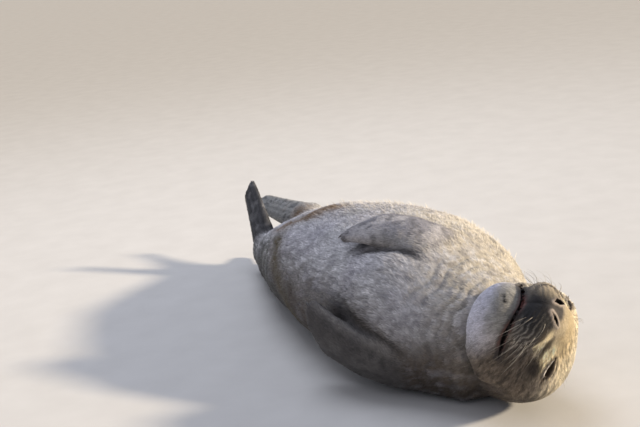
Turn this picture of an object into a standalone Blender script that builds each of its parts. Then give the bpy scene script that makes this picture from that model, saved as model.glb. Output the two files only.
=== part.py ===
"""A seal pup at rest on its back, rolled to its left side.

The body is a smooth function of named sizes, meshed whole and then parted with thin cuts.
Metres, +Z up, +X toward the head, the belly turned toward -Y.
"""
import math
import bpy
import bmesh
import numpy as np
from mathutils import Matrix, Vector


def vec(*a):
    return np.array(a, float)


def unit(v):
    return v / np.linalg.norm(v)


# ------------------------------------------------------------------ trunk
SECTION_TILT = math.radians(12)     # lean of the soft section
BODY_ROLL = math.radians(45)        # turn of the belly to the near side
SEC_W = vec(0, math.cos(SECTION_TILT), math.sin(SECTION_TILT))
SEC_H = vec(0, -math.sin(SECTION_TILT), math.cos(SECTION_TILT))
LAT = vec(0, math.cos(BODY_ROLL), math.sin(BODY_ROLL))
VEN = vec(0, -math.sin(BODY_ROLL), math.cos(BODY_ROLL))
STATIONS = (                        # station x, half width, half height
    (-0.585, 0.030, 0.026),         # tail root
    (-0.550, 0.048, 0.040),
    (-0.497, 0.074, 0.060),         # pelvis
    (-0.397, 0.109, 0.083),         # hips
    (-0.277, 0.137, 0.099),         # loin
    (-0.139, 0.155, 0.107),         # belly
    (-0.018, 0.162, 0.110),         # greatest girth
    (0.083, 0.147, 0.104),          # shoulder
    (0.176, 0.113, 0.086),
    (0.240, 0.062, 0.050),
)
SETTLE = 0.012                      # how far the soft body has settled on the floor
SECTION_POWER = 2.15
FLOOR_ROUND = 0.010                 # rounding where the body meets the floor


def station_table(col, n=600):
    s = np.array(STATIONS)
    xs, ys = s[:, 0], s[:, col]
    d = np.diff(ys) / np.diff(xs)
    m = np.zeros_like(ys)
    a, b = d[:-1], d[1:]
    m[1:-1] = np.where(a * b > 0, 2 * a * b / (a + b + 1e-12), 0)
    m[0], m[-1] = d[0], d[-1]
    x = np.linspace(xs[0], xs[-1], n)
    i = np.clip(np.searchsorted(xs, x) - 1, 0, len(xs) - 2)
    h = xs[i + 1] - xs[i]
    t = (x - xs[i]) / h
    return x, ((2*t**3 - 3*t**2 + 1) * ys[i] + (t**3 - 2*t**2 + t) * h * m[i]
               + (3*t**2 - 2*t**3) * ys[i + 1] + (t**3 - t**2) * h * m[i + 1])


TX, TW = station_table(1)
TH = station_table(2)[1]
TC = np.maximum(np.sqrt((TH * math.cos(SECTION_TILT))**2 + (TW * math.sin(SECTION_TILT))**2) - SETTLE, 0.030)


def smin(a, b, k):
    h = np.clip(0.5 + 0.5 * (b - a) / k, 0.0, 1.0)
    return b + (a - b) * h - k * h * (1.0 - h)


def smax(a, b, k):
    return -smin(-a, -b, k)


def ellipsoid(q, r):
    r = np.asarray(r)
    k0 = np.sqrt(((q / r)**2).sum(-1)) + 1e-9
    k1 = np.sqrt(((q / r**2)**2).sum(-1)) + 1e-9
    return k0 * (k0 - 1.0) / k1


def limb(p, a, b, n, ra, rb, fa=1.0, fb=None):
    """A tapered rod from a to b, flattened along n by fa at a and fb at b."""
    fb = fa if fb is None else fb
    ab = b - a
    t = np.clip((p - a) @ ab / (ab @ ab), 0, 1)
    off = p - a - t[..., None] * ab
    r = ra + (rb - ra) * t
    f = fa + (fb - fa) * t
    on = off @ n
    rest = np.sqrt(np.maximum((off**2).sum(-1) - on**2, 0))
    k0 = np.sqrt((rest / r)**2 + (on / (r * f))**2) + 1e-9
    k1 = np.sqrt((rest / r**2)**2 + (on / (r * f)**2)**2) + 1e-9
    return np.where(k0 < 1e-3, -r * f, k0 * (k0 - 1) / k1)


def trunk(p):
    x = p[..., 0]
    xc = np.clip(x, TX[0], TX[-1])
    w, h, cz = np.interp(xc, TX, TW), np.interp(xc, TX, TH), np.interp(xc, TX, TC)
    y, z = p[..., 1], p[..., 2] - cz
    l = y * SEC_W[1] + z * SEC_W[2]
    v = y * SEC_H[1] + z * SEC_H[2]
    q = (np.abs(l / w)**SECTION_POWER + np.abs(v / h)**SECTION_POWER)**(1 / SECTION_POWER) + 1e-9
    k1 = np.sqrt((l / w**2)**2 + (v / h**2)**2) + 1e-9
    e = np.where(q < 0.3, -h * (1 - q), q * (q - 1) / k1)
    dx = np.abs(x - xc)
    return np.where(dx > 1e-9, np.sqrt(np.maximum(e, 0)**2 + dx**2), e)


def on_trunk(x, deg, lift=0.0):
    """The point on the trunk at station x, deg round from the belly midline toward the right side."""
    w, h, cz = (float(np.interp(x, TX, t)) for t in (TW, TH, TC))
    a = math.radians(deg)
    d = math.cos(a) * VEN + math.sin(a) * LAT
    l, v = d @ SEC_W, d @ SEC_H
    s = 1 / ((abs(l / w)**SECTION_POWER + abs(v / h)**SECTION_POWER)**(1 / SECTION_POWER))
    g = unit(np.sign(l) * (abs(l / w)**(SECTION_POWER - 1)) / w * SEC_W
             + np.sign(v) * (abs(v / h)**(SECTION_POWER - 1)) / h * SEC_H)
    return vec(x, 0, cz) + s * d + lift * g, g


# ------------------------------------------------------------------ head: forward, up (crown), right
HEAD_AT = vec(0.2977, 0.0164, 0.0915)
HEAD_F = unit(vec(0.8078, -0.0394, 0.5881))
HEAD_U = vec(0.4089, 0.7560, -0.5111)
HEAD_U = unit(HEAD_U - (HEAD_U @ HEAD_F) * HEAD_F)
HEAD_R = np.cross(HEAD_F, HEAD_U)
HEAD_M = np.stack([HEAD_F, HEAD_U, HEAD_R], 1)
HEAD_FORMS = (                                             # centre, radii, blend
    ((0.000, 0.002, 0.002), (0.082, 0.064, 0.077), 0.0),     # cranium
    ((-0.030, -0.006, 0.0), (0.070, 0.064, 0.069), 0.020),  # nape
    ((0.012, -0.036, 0.0), (0.070, 0.050, 0.074), 0.022),  # jowl
    ((0.064, 0.006, 0.0), (0.058, 0.033, 0.040), 0.028),   # nose bridge
    ((0.098, -0.018, 0.0), (0.045, 0.031, 0.033), 0.020),  # muzzle
    ((0.052, -0.060, 0.0), (0.056, 0.035, 0.046), 0.018),  # chin
)
SIDES = (                                                  # forms on both sides
    ((0.026, 0.008, 0.038), (0.050, 0.044, 0.042), 0.022),  # temples
    ((0.104, -0.025, 0.021), (0.033, 0.023, 0.024), 0.014),  # whisker pads
)
NECK_FROM, NECK_R0, NECK_R1 = vec(0.09, -0.010, 0.103), 0.116, 0.074


def to_head(p):
    return (p - HEAD_AT) @ HEAD_M


def from_head(*q):
    return HEAD_AT + HEAD_M @ np.array(q, float)


def head(p):
    q = to_head(p)
    d = None
    for c, r, k in HEAD_FORMS:
        e = ellipsoid(q - vec(*c), r)
        d = e if d is None else smin(d, e, k)
    for c, r, k in SIDES:
        for s in (-1, 1):
            d = smin(d, ellipsoid(q - vec(*c) * vec(1, 1, s), r), k)
    return d


def neck(p):
    return limb(p, NECK_FROM, HEAD_AT - 0.01 * HEAD_F, vec(0, 0, 1), NECK_R0 * 1.12, NECK_R1, 0.86, 1.0)


# ------------------------------------------------------------------ fore flippers
FORE_WIDTH = 0.088
SHOULDER_SINK = 0.085               # how the upper arm goes down into the shoulder
DIGIT_LEN = (1.0, 0.96, 0.90, 0.815, 0.72)


class Fore:
    """A fore flipper lying over the trunk: root and tip stations, and its height off the body at both."""

    def __init__(self, root, tip, side, lift0, lift1):
        self.root, n0 = on_trunk(*root, lift0)
        tip, n1 = on_trunk(*tip, lift1)
        n = unit(n0 + n1)
        span = tip - self.root
        self.d = unit(span - (span @ n) * n)
        self.n = n
        self.b = np.cross(n, self.d) * side       # toward the thumb edge
        self.len = float(np.linalg.norm(span))
        self.side, self.lift0, self.lift1 = side, lift0, lift1

    def flat(self, p):
        """Flipper coordinates: along, toward the thumb, off the body."""
        q = p - self.root
        a, b = q @ self.d, q @ self.b
        t = np.clip(a / self.len, -0.3, 1.3)
        sink = SHOULDER_SINK * np.maximum(0.25 - t, 0)**2
        return np.stack([a, b, trunk(p) - self.lift0 - (self.lift1 - self.lift0) * t + sink], -1)

    def place(self, a, b, c):
        """The point in space at flipper coordinates."""
        p = self.root + a * self.d + b * self.b
        for _ in range(12):
            p = p + (c - self.flat(p)[2]) * self.n * 0.9
        return p

    def digits(self):
        w = FORE_WIDTH
        for i, l in enumerate(DIGIT_LEN):
            yield vec(0.20 * self.len, (0.26 - 0.13 * i) * w, 0), vec(l * self.len - 0.010, (0.29 - 0.15 * i) * w, 0)

    def field(self, p):
        q = self.flat(p)
        n, w = vec(0, 0, 1), FORE_WIDTH
        d = limb(q, vec(-0.015, 0.0, 0), vec(0.52 * self.len, 0.0, 0), n, 0.43 * w, 0.40 * w, 0.66, 0.42)
        for i, (a, b) in enumerate(self.digits()):
            d = smin(d, limb(q, a, b, n, 0.0145 if i == 0 else 0.0130, 0.0114 - 0.0004 * i, 0.84, 0.74), 0.010)
        return np.maximum(d, -0.05 - (p - self.root) @ self.n)


FORE = {
    'left': Fore((0.146, -62), (0.020, -47), -1, 0.004, 0.030),
    'right': Fore((0.104, 38), (-0.033, 10), 1, 0.020, 0.020),
}

# ------------------------------------------------------------------ hind flippers and tail
HIND_DIGITS = (0.90, 0.93, 0.95, 0.975, 1.0)


class Hind:
    """A hind flipper: ankle, tip, the plane's normal, the width across the digit ends and the palm's half width."""

    def __init__(self, ankle, tip, normal, spread, palm):
        self.root = ankle
        self.d = unit(tip - ankle)
        self.len = float(np.linalg.norm(tip - ankle))
        self.n = unit(normal - (normal @ self.d) * self.d)
        self.b = np.cross(self.n, self.d)
        self.spread, self.palm = spread, palm

    def flat(self, p):
        q = p - self.root
        return np.stack([q @ self.d, q @ self.b, q @ self.n], -1)

    def place(self, a, b, c):
        return self.root + a * self.d + b * self.b + c * self.n

    def digits(self):
        for i, l in enumerate(HIND_DIGITS):
            u = (i - 2) / 2
            yield vec(0.22 * self.len, 0.55 * u * self.palm, 0), vec(l * self.len - 0.007, 0.5 * u * self.spread, 0)

    def field(self, p):
        q = self.flat(p)
        n = vec(0, 0, 1)
        d = limb(q, vec(-0.008, 0, 0), vec(0.50 * self.len, 0, 0), n, self.palm, 0.020, 0.74, 0.46)
        rays = list(self.digits())
        for i, (a, b) in enumerate(rays):
            d = smin(d, limb(q, a, b, n, 0.0115, 0.0085 if i in (0, 4) else 0.0072, 0.66, 0.62), 0.008)
        for (a0, b0), (a1, b1) in zip(rays, rays[1:]):
            d = smin(d, limb(q, (a0 + a1) / 2, (b0 + b1) / 2 - vec(0.014, 0, 0), n, 0.012, 0.013, 0.32, 0.26), 0.004)
        return d


HIND = {
    'left': Hind(vec(-0.555, -0.034, 0.050), vec(-0.660, -0.021, 0.166), vec(-0.37, 0.87, -0.29), 0.023, 0.034),
    'right': Hind(vec(-0.546, 0.054, 0.100), vec(-0.738, 0.022, 0.110), vec(0.10, -0.60, 0.78), 0.024, 0.038),
}
HAUNCH_X, HAUNCH_R, ANKLE_R = -0.44, 0.056, 0.031


def haunches(p):
    a = limb(p, vec(HAUNCH_X, -0.034, 0.068), HIND['left'].root, vec(1, 0, 0), HAUNCH_R, ANKLE_R)
    b = limb(p, vec(HAUNCH_X, 0.040, 0.084), HIND['right'].root, vec(1, 0, 0), HAUNCH_R, ANKLE_R)
    return smin(a, b, 0.012)


TAIL_ROOT, TAIL_TIP = vec(-0.565, 0.014, 0.044), vec(-0.650, 0.012, 0.028)


def tail(p):
    return limb(p, TAIL_ROOT, TAIL_TIP, VEN, 0.024, 0.015, 0.62, 0.5)


def body(p):
    d = trunk(p)
    d = smin(d, neck(p), 0.05)
    d = smin(d, head(p), 0.032)
    d = smin(d, haunches(p), 0.030)
    return smax(d, -p[..., 2], FLOOR_ROUND)


# ------------------------------------------------------------------ meshing a function
def surface_nets(fn, lo, hi, cell):
    """Quads over the zero of fn in the box lo..hi."""
    lo = np.array(lo, float)
    n = np.ceil((np.array(hi) - lo) / cell).astype(int) + 1
    xs = [lo[i] + np.arange(n[i]) * cell for i in range(3)]
    f = np.empty(n)
    yz = np.stack(np.meshgrid(xs[1], xs[2], indexing='ij'), -1).reshape(-1, 2)
    for i, x in enumerate(xs[0]):
        f[i] = fn(np.column_stack([np.full(len(yz), x), yz])).reshape(n[1], n[2])
    inside = f < 0
    nc = n - 1
    acc, num = np.zeros(tuple(nc) + (3,)), np.zeros(nc)

    def at(c):
        return tuple(slice(c[i], c[i] + nc[i]) for i in range(3))
    for ax in range(3):
        o = [i for i in range(3) if i != ax]
        for u in (0, 1):
            for v in (0, 1):
                c0 = [0, 0, 0]
                c0[o[0]], c0[o[1]] = u, v
                c1 = list(c0)
                c1[ax] = 1
                f0, f1 = f[at(c0)], f[at(c1)]
                x = (f0 < 0) != (f1 < 0)
                t = np.where(x, f0 / np.where(x, f0 - f1, 1), 0)
                for i in range(3):
                    acc[..., i] += np.where(x, (t if i == ax else c0[i]), 0)
                num += x
    act = num > 0
    idx = -np.ones(nc, int)
    idx[act] = np.arange(act.sum())
    verts = lo + (np.argwhere(act) + acc[act] / num[act][:, None]) * cell
    quads = []
    for ax in range(3):
        o = [i for i in range(3) if i != ax]
        s0, s1 = [slice(None)] * 3, [slice(None)] * 3
        s0[ax], s1[ax] = slice(0, n[ax] - 1), slice(1, n[ax])
        for k in o:
            s0[k] = s1[k] = slice(1, n[k] - 1)
        a, b = inside[tuple(s0)], inside[tuple(s1)]
        for out, m in ((True, a & ~b), (False, b & ~a)):
            e = np.argwhere(m)
            if not len(e):
                continue
            for k in o:
                e[:, k] += 1

            def cell_at(d0, d1):
                c = e.copy()
                c[:, o[0]] -= d0
                c[:, o[1]] -= d1
                return idx[c[:, 0], c[:, 1], c[:, 2]]
            q = np.stack([cell_at(1, 1), cell_at(0, 1), cell_at(0, 0), cell_at(1, 0)], 1)
            quads.append(q if out != (ax == 1) else q[:, ::-1])
    return verts, np.concatenate(quads)


def onto(fn, p, steps=2, most=0.006, h=4e-4):
    """Moves points onto the zero of fn along its slope."""
    for _ in range(steps):
        g = np.stack([(fn(p + e) - fn(p - e)) / (2 * h) for e in np.eye(3) * h], 1)
        s = np.clip(fn(p) / np.maximum((g**2).sum(1), 0.05), -most, most)
        p = p - s[:, None] * g
    return p


# ------------------------------------------------------------------ pieces
GAP = 0.0003                        # between neighbouring pieces
BODY_CELL, FLIPPER_CELL = 0.0055, 0.0030
BODY_TRIS, FORE_TRIS, HIND_TRIS, TAIL_TRIS = 2720, 360, 315, 70
EYE_R = 0.0170
EYE_AT = {'left': (0.0560, 0.0150, -0.0320), 'right': (0.0560, 0.0150, 0.0320)}
EYE_OPEN = (0.0135, 0.0048, 0.014)      # half length, half height, depth of the lid opening
NOSTRIL_AT, NOSTRIL_R, NOSTRIL_LEN = (0.139, -0.0070, 0.0135), 0.0028, 0.023
MOUTH_LINE = ((0.068, -0.0500, 0.0440), (0.090, -0.0440, 0.0380), (0.108, -0.0420, 0.0260),
              (0.118, -0.0440, 0.0130), (0.121, -0.0465, 0.0))
MOUTH_R = 0.0020
FORE_CLAW, FORE_CLAW_R = 0.019, 0.0028
HIND_CLAW, HIND_CLAW_R = 0.012, 0.0019
CUTS = {                            # point, normal, half size of each thin cut
    'neck_back': (vec(0.165, 0.0, 0.10), unit(vec(1, 0.08, 0)), 0.30),
    'chest_back': (vec(-0.100, 0.0, 0.10), vec(1, 0, 0), 0.30),
    'abdomen_back': (vec(-0.375, 0.0, 0.08), vec(1, 0, 0), 0.30),
    'head_back': (from_head(-0.030, 0, 0), unit(HEAD_F + 0.35 * HEAD_U), 0.155),
}
COAT = {                            # colour, roughness
    'head': ((0.43, 0.38, 0.33), 0.75),
    'neck': ((0.52, 0.49, 0.47), 0.78),
    'chest': ((0.55, 0.53, 0.53), 0.78),
    'abdomen': ((0.50, 0.49, 0.52), 0.78),
    'pelvis': ((0.42, 0.41, 0.42), 0.80),
    'tail': ((0.20, 0.20, 0.21), 0.80),
    'fore_flipper_left': ((0.34, 0.33, 0.33), 0.72),
    'fore_flipper_right': ((0.47, 0.45, 0.43), 0.72),
    'hind_flipper_left': ((0.16, 0.16, 0.17), 0.70),
    'hind_flipper_right': ((0.40, 0.39, 0.39), 0.70),
}
EYE_LOOK = ((0.012, 0.009, 0.008), 0.06)
CLAW_LOOK = ((0.035, 0.030, 0.028), 0.38)


def clear():
    for o in list(bpy.data.objects):
        bpy.data.objects.remove(o, do_unlink=True)


def collection(name):
    c = bpy.data.collections.new(name)
    bpy.context.scene.collection.children.link(c)
    return c


def material(name, colour, roughness):
    m = bpy.data.materials.new(name)
    m.use_nodes = True
    b = m.node_tree.nodes['Principled BSDF']
    b.inputs['Base Color'].default_value = (*colour, 1)
    b.inputs['Roughness'].default_value = roughness
    b.inputs['Metallic'].default_value = 0.0
    m.diffuse_color = (*colour, 1)
    return m


def new_object(name, mesh, where):
    o = bpy.data.objects.new(name, mesh)
    where.objects.link(o)
    return o


def from_bmesh(name, bm, where):
    me = bpy.data.meshes.new(name)
    bm.to_mesh(me)
    bm.free()
    return new_object(name, me, where)


def bake(o):
    """Applies the modifiers to the mesh."""
    dg = bpy.context.evaluated_depsgraph_get()
    me = bpy.data.meshes.new_from_object(o.evaluated_get(dg))
    o.modifiers.clear()
    old = o.data
    o.data = me
    bpy.data.meshes.remove(old)


def biggest(o, count=1):
    """Keeps the largest loose pieces."""
    bm = bmesh.new()
    bm.from_mesh(o.data)
    groups = islands(bm)
    for g in groups[count:]:
        bmesh.ops.delete(bm, geom=g, context='VERTS')
    bm.to_mesh(o.data)
    bm.free()


def islands(bm):
    seen, groups = set(), []
    for v in bm.verts:
        if v in seen:
            continue
        stack, g = [v], []
        seen.add(v)
        while stack:
            a = stack.pop()
            g.append(a)
            for e in a.link_edges:
                b = e.other_vert(a)
                if b not in seen:
                    seen.add(b)
                    stack.append(b)
        groups.append(g)
    return sorted(groups, key=len, reverse=True)


def closed(o):
    bm = bmesh.new()
    bm.from_mesh(o.data)
    ok = all(e.is_manifold for e in bm.edges)
    bm.free()
    return ok


def tidy(o):
    """Merges the slivers a cut can leave."""
    bm = bmesh.new()
    bm.from_mesh(o.data)
    bmesh.ops.remove_doubles(bm, verts=bm.verts, dist=2e-5)
    bmesh.ops.dissolve_degenerate(bm, edges=bm.edges, dist=1e-6)
    bmesh.ops.triangulate(bm, faces=bm.faces)
    bm.to_mesh(o.data)
    bm.free()


def solid(name, fn, lo, hi, cell, tris, where):
    """A closed mesh of the function, thinned to about tris triangles."""
    for finer in (1.0, 0.965, 0.93, 0.90, 0.87, 0.84, 0.81):
        v, q = surface_nets(fn, lo, hi, cell * finer)
        v = onto(fn, v)
        me = bpy.data.meshes.new(name)
        me.from_pydata(v.tolist(), [], q.tolist())
        me.validate()
        o = new_object(name, me, where)
        biggest(o)
        r = o.modifiers.new('even', 'REMESH')
        r.mode, r.voxel_size = 'VOXEL', cell * finer * 0.8
        bake(o)
        biggest(o)
        o.modifiers.new('tri', 'TRIANGULATE')
        d = o.modifiers.new('thin', 'DECIMATE')
        d.ratio = tris / (2.0 * len(o.data.polygons))
        bake(o)
        if closed(o):
            return o
        bpy.data.objects.remove(o, do_unlink=True)
    raise RuntimeError(name + ' did not close')


def thin_cut(name, at, normal, half, where):
    """A slab GAP thick."""
    bm = bmesh.new()
    bmesh.ops.create_cube(bm, size=1.0)
    z = Vector(normal)
    turn = z.to_track_quat('Z', 'Y').to_matrix().to_4x4()
    bmesh.ops.transform(bm, verts=bm.verts,
                        matrix=Matrix.Translation(Vector(at)) @ turn @ Matrix.Diagonal((2 * half, 2 * half, GAP, 1)))
    return from_bmesh(name, bm, where)


def ball(name, at, radii, axes, where, rings=(14, 9)):
    bm = bmesh.new()
    bmesh.ops.create_uvsphere(bm, u_segments=rings[0], v_segments=rings[1], radius=1.0)
    m = Matrix([[float(axes[i][j] * radii[i]) for i in range(3)] for j in range(3)]).to_4x4()
    bmesh.ops.transform(bm, verts=bm.verts, matrix=Matrix.Translation(Vector(at)) @ m)
    bmesh.ops.recalc_face_normals(bm, faces=bm.faces)
    return from_bmesh(name, bm, where)


def rod(name, points, radius, where):
    """A round-ended rod along a smooth line."""
    cu = bpy.data.curves.new(name, 'CURVE')
    cu.dimensions = '3D'
    cu.bevel_depth = radius
    cu.bevel_resolution = 1
    cu.use_fill_caps = True
    s = cu.splines.new('POLY')
    s.points.add(len(points) - 1)
    for p, c in zip(s.points, points):
        p.co = (*c, 1)
    tmp = bpy.data.objects.new(name, cu)
    where.objects.link(tmp)
    me = bpy.data.meshes.new_from_object(tmp.evaluated_get(bpy.context.evaluated_depsgraph_get()))
    bpy.data.objects.remove(tmp, do_unlink=True)
    bm = bmesh.new()
    bm.from_mesh(me)
    bmesh.ops.remove_doubles(bm, verts=bm.verts, dist=1e-6)
    bmesh.ops.recalc_face_normals(bm, faces=bm.faces)
    return from_bmesh(name, bm, where)


def cut(o, cutters):
    """Takes the cutters out of o."""
    for c in cutters:
        m = o.modifiers.new('cut', 'BOOLEAN')
        m.operation, m.solver, m.object = 'DIFFERENCE', 'EXACT', c
        bake(o)
        tidy(o)


def split(o, names, where):
    """Parts o into its loose pieces, named by the order of their centres along X."""
    bm = bmesh.new()
    bm.from_mesh(o.data)
    groups = [g for g in islands(bm) if len(g) > 30][:len(names)]
    groups.sort(key=lambda g: sum(v.co.x for v in g) / len(g))
    out = {}
    for name, g in zip(names, groups):
        keep = {v.index for v in g}
        piece = bm.copy()
        piece.verts.ensure_lookup_table()
        bmesh.ops.delete(piece, geom=[v for v in piece.verts if v.index not in keep], context='VERTS')
        out[name] = from_bmesh(name, piece, where)
    bm.free()
    bpy.data.objects.remove(o, do_unlink=True)
    return out


def claw(name, limb_at, start, along, down, length, radius, grow, where):
    """A curved, tapering claw; grow widens it for its socket."""
    bm = bmesh.new()
    rings = 5
    bmesh.ops.create_cone(bm, cap_ends=True, segments=6, radius1=radius + grow, radius2=radius * 0.16 + grow,
                          depth=length + 2 * grow)
    long_edges = [e for e in bm.edges if abs(e.verts[0].co.z - e.verts[1].co.z) > length * 0.5]
    bmesh.ops.subdivide_edges(bm, edges=long_edges, cuts=rings - 2, use_grid_fill=False)
    side = unit(np.cross(down, along))
    for v in bm.verts:
        t = (v.co.z + length / 2) / length
        r = 1 + 0.25 * math.sin(math.pi * min(max(t, 0), 1))
        p = start + along * (v.co.z + length / 2) + down * (0.30 * length * max(t, 0)**2)
        p = p + side * (v.co.x * r * 0.85) + unit(down + along * 0.2) * (v.co.y * r)
        v.co = Vector(p)
    bmesh.ops.recalc_face_normals(bm, faces=bm.faces)
    if bm.calc_volume(signed=True) < 0:
        bmesh.ops.reverse_faces(bm, faces=bm.faces)
    return from_bmesh(name, bm, where)


# ------------------------------------------------------------------ build
clear()
seal = collection('grey_seal')
tools = collection('cutters')

whole = solid('body_whole', body, (-0.64, -0.20, -0.02), (0.46, 0.20, 0.28), BODY_CELL, BODY_TRIS, seal)
for v in whole.data.vertices:                    # one true level under the body
    if v.co.z < 0.0006:
        v.co.z = 0.0

# a copy of the whole body, GAP larger, clears the flippers and the tail
swell = new_object('body_swell', whole.data.copy(), tools)
m = swell.modifiers.new('swell', 'DISPLACE')
m.strength, m.mid_level, m.direction = GAP, 0.0, 'NORMAL'
bake(swell)

limbs = {}
for k in ('left', 'right'):
    f = FORE[k]
    c = (f.root + f.place(f.len, 0, 0)) / 2
    limbs['fore_flipper_' + k] = solid('fore_flipper_' + k, f.field, c - 0.14, c + 0.14, FLIPPER_CELL, FORE_TRIS, seal)
    h = HIND[k]
    c = h.root + h.d * 0.07
    limbs['hind_flipper_' + k] = solid('hind_flipper_' + k, h.field, c - 0.155, c + 0.155, FLIPPER_CELL, HIND_TRIS, seal)
limbs['tail'] = solid('tail', tail, (-0.70, -0.05, -0.01), (-0.50, 0.07, 0.10), FLIPPER_CELL, TAIL_TRIS, seal)

# claws grow from the digit ends
claws, sockets = [], {}
for k in ('left', 'right'):
    f, h = FORE[k], HIND[k]
    for i, (a, b) in enumerate(f.digits(), 1):
        out = unit(b - a)
        at = f.place(*(b + vec(0.0020, 0, 0.0030)))
        along = unit(f.place(*(b + out * 0.02 + vec(0, 0, 0.0010))) - f.place(*b))
        up = unit(f.place(*(b + vec(0, 0, 0.01))) - f.place(*b))
        down = unit(-up - (-up @ along) * along)
        name = f'claw_fore_{k}_{i}'
        claws.append(claw(name, b, at, along, down, FORE_CLAW, FORE_CLAW_R, 0.0, seal))
        sockets.setdefault('fore_flipper_' + k, []).append(
            claw(name + '_socket', b, at, along, down, FORE_CLAW, FORE_CLAW_R, GAP, tools))
    for i, (a, b) in enumerate(h.digits(), 1):
        out = unit(b - a)
        at = h.place(*(b - out * 0.001 + vec(0, 0, 0.0022)))
        along = unit(h.place(*(b + out * 0.02)) - h.place(*b))
        down = unit(-h.n - (-h.n @ along) * along)
        name = f'claw_hind_{k}_{i}'
        claws.append(claw(name, b, at, along, down, HIND_CLAW, HIND_CLAW_R, 0.0, seal))
        sockets.setdefault('hind_flipper_' + k, []).append(
            claw(name + '_socket', b, at, along, down, HIND_CLAW, HIND_CLAW_R, GAP, tools))

for name, o in limbs.items():
    cut(o, [swell] + sockets.get(name, []))
    biggest(o)

# eyes in their sockets, each with a lid opening out to the coat
eyes, head_cuts = {}, []
for k, q in EYE_AT.items():
    s = -1 if k == 'left' else 1
    at = from_head(*q)
    look = unit(HEAD_M @ vec(0.62, 0.31, 0.72 * s))
    slit = unit(HEAD_M @ vec(0.73, 0.14, -0.67 * s))
    slit = unit(slit - (slit @ look) * look)
    rise = np.cross(look, slit)
    eyes['eye_' + k] = ball('eye_' + k, at, (EYE_R,) * 3, (slit, rise, look), seal)
    socket = ball('eye_socket_' + k, at, (EYE_R + GAP,) * 3, (slit, rise, look), tools)
    gap = ball('eye_opening_' + k, at + look * (EYE_R + 0.002), EYE_OPEN, (slit, rise, look), tools, (12, 7))
    m = socket.modifiers.new('join', 'BOOLEAN')
    m.operation, m.solver, m.object = 'UNION', 'EXACT', gap
    bake(socket)
    head_cuts.append(socket)
    n = onto(head, np.array([from_head(*(np.array(NOSTRIL_AT) * vec(1, 1, s)))]), 4)[0]
    tilt = unit(HEAD_M @ vec(-0.59, 0.71, 0.38 * s))
    head_cuts.append(ball('nostril_' + k, n, (NOSTRIL_LEN / 2, NOSTRIL_R, 0.006),
                          (tilt, unit(np.cross(tilt, HEAD_F)), unit(HEAD_F - (HEAD_F @ tilt) * tilt)), tools, (8, 6)))
line = [vec(*q) for q in MOUTH_LINE]
line = line[:-1] + [q * vec(1, 1, -1) for q in line[::-1]]
fine = []
for i in range(len(line) - 1):
    p0, p1, p2, p3 = (line[max(i - 1, 0)], line[i], line[i + 1], line[min(i + 2, len(line) - 1)])
    for t in (0, 1 / 3, 2 / 3):
        fine.append(0.5 * (2 * p1 + (p2 - p0) * t + (2 * p0 - 5 * p1 + 4 * p2 - p3) * t**2
                           + (3 * p1 - p0 - 3 * p2 + p3) * t**3))
fine.append(line[-1])
fine = onto(head, np.array([from_head(*q) for q in fine]), 5)
head_cuts.append(rod('mouth', fine, MOUTH_R, tools))

cut(whole, head_cuts)
biggest(whole)
cut(whole, [thin_cut(n, *c, tools) for n, c in CUTS.items()])
trunk_parts = split(whole, ('pelvis', 'abdomen', 'chest', 'neck', 'head'), seal)

# ------------------------------------------------------------------ looks
for name, o in {**trunk_parts, **limbs}.items():
    o.data.materials.clear()
    o.data.materials.append(material(name + '_coat', *COAT[name]))
for name, o in eyes.items():
    o.data.materials.append(material(name + '_cornea', *EYE_LOOK))
for o in claws:
    o.data.materials.append(material(o.name + '_horn', *CLAW_LOOK))

# ------------------------------------------------------------------ stand the whole on its own origin
lo = np.array([min(v.co[i] for o in seal.objects for v in o.data.vertices) for i in range(3)])
hi = np.array([max(v.co[i] for o in seal.objects for v in o.data.vertices) for i in range(3)])
shift = Matrix.Translation(Vector((-(lo[0] + hi[0]) / 2, -(lo[1] + hi[1]) / 2, -lo[2])))
for o in list(seal.objects) + list(tools.objects):
    o.data.transform(shift)
for o in seal.objects:
    o.data.shade_smooth()
for o in tools.objects:
    o.hide_render = True
    o.display_type = 'WIRE'
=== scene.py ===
"""The looks of the seal pup: one skin with a worked face, a solid-mesh coat, eyes, claws and whiskers,
a plain floor, soft light and the camera."""
import math
import bpy
import numpy as np
from mathutils import Matrix, Vector


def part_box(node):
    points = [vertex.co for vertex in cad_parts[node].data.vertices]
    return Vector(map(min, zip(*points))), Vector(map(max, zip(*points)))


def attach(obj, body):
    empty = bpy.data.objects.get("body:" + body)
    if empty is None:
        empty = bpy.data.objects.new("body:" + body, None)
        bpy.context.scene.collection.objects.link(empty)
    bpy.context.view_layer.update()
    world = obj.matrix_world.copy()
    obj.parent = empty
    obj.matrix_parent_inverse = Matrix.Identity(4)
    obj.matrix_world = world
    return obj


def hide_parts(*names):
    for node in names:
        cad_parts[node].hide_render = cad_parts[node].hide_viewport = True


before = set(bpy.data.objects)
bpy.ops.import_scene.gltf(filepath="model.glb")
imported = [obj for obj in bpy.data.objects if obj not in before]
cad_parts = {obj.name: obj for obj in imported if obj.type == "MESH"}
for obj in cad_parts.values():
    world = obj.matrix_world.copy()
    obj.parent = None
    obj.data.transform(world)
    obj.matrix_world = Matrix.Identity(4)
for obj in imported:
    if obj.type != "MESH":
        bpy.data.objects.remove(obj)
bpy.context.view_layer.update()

rng = np.random.default_rng(20417)


def vec(*a):
    return np.array(a, float)


def unit(v):
    return v / np.maximum(np.linalg.norm(v, axis=-1, keepdims=True), 1e-12)


def step(a, b, x):
    t = np.clip((x - a) / (b - a), 0, 1)
    return t * t * (3 - 2 * t)


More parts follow.
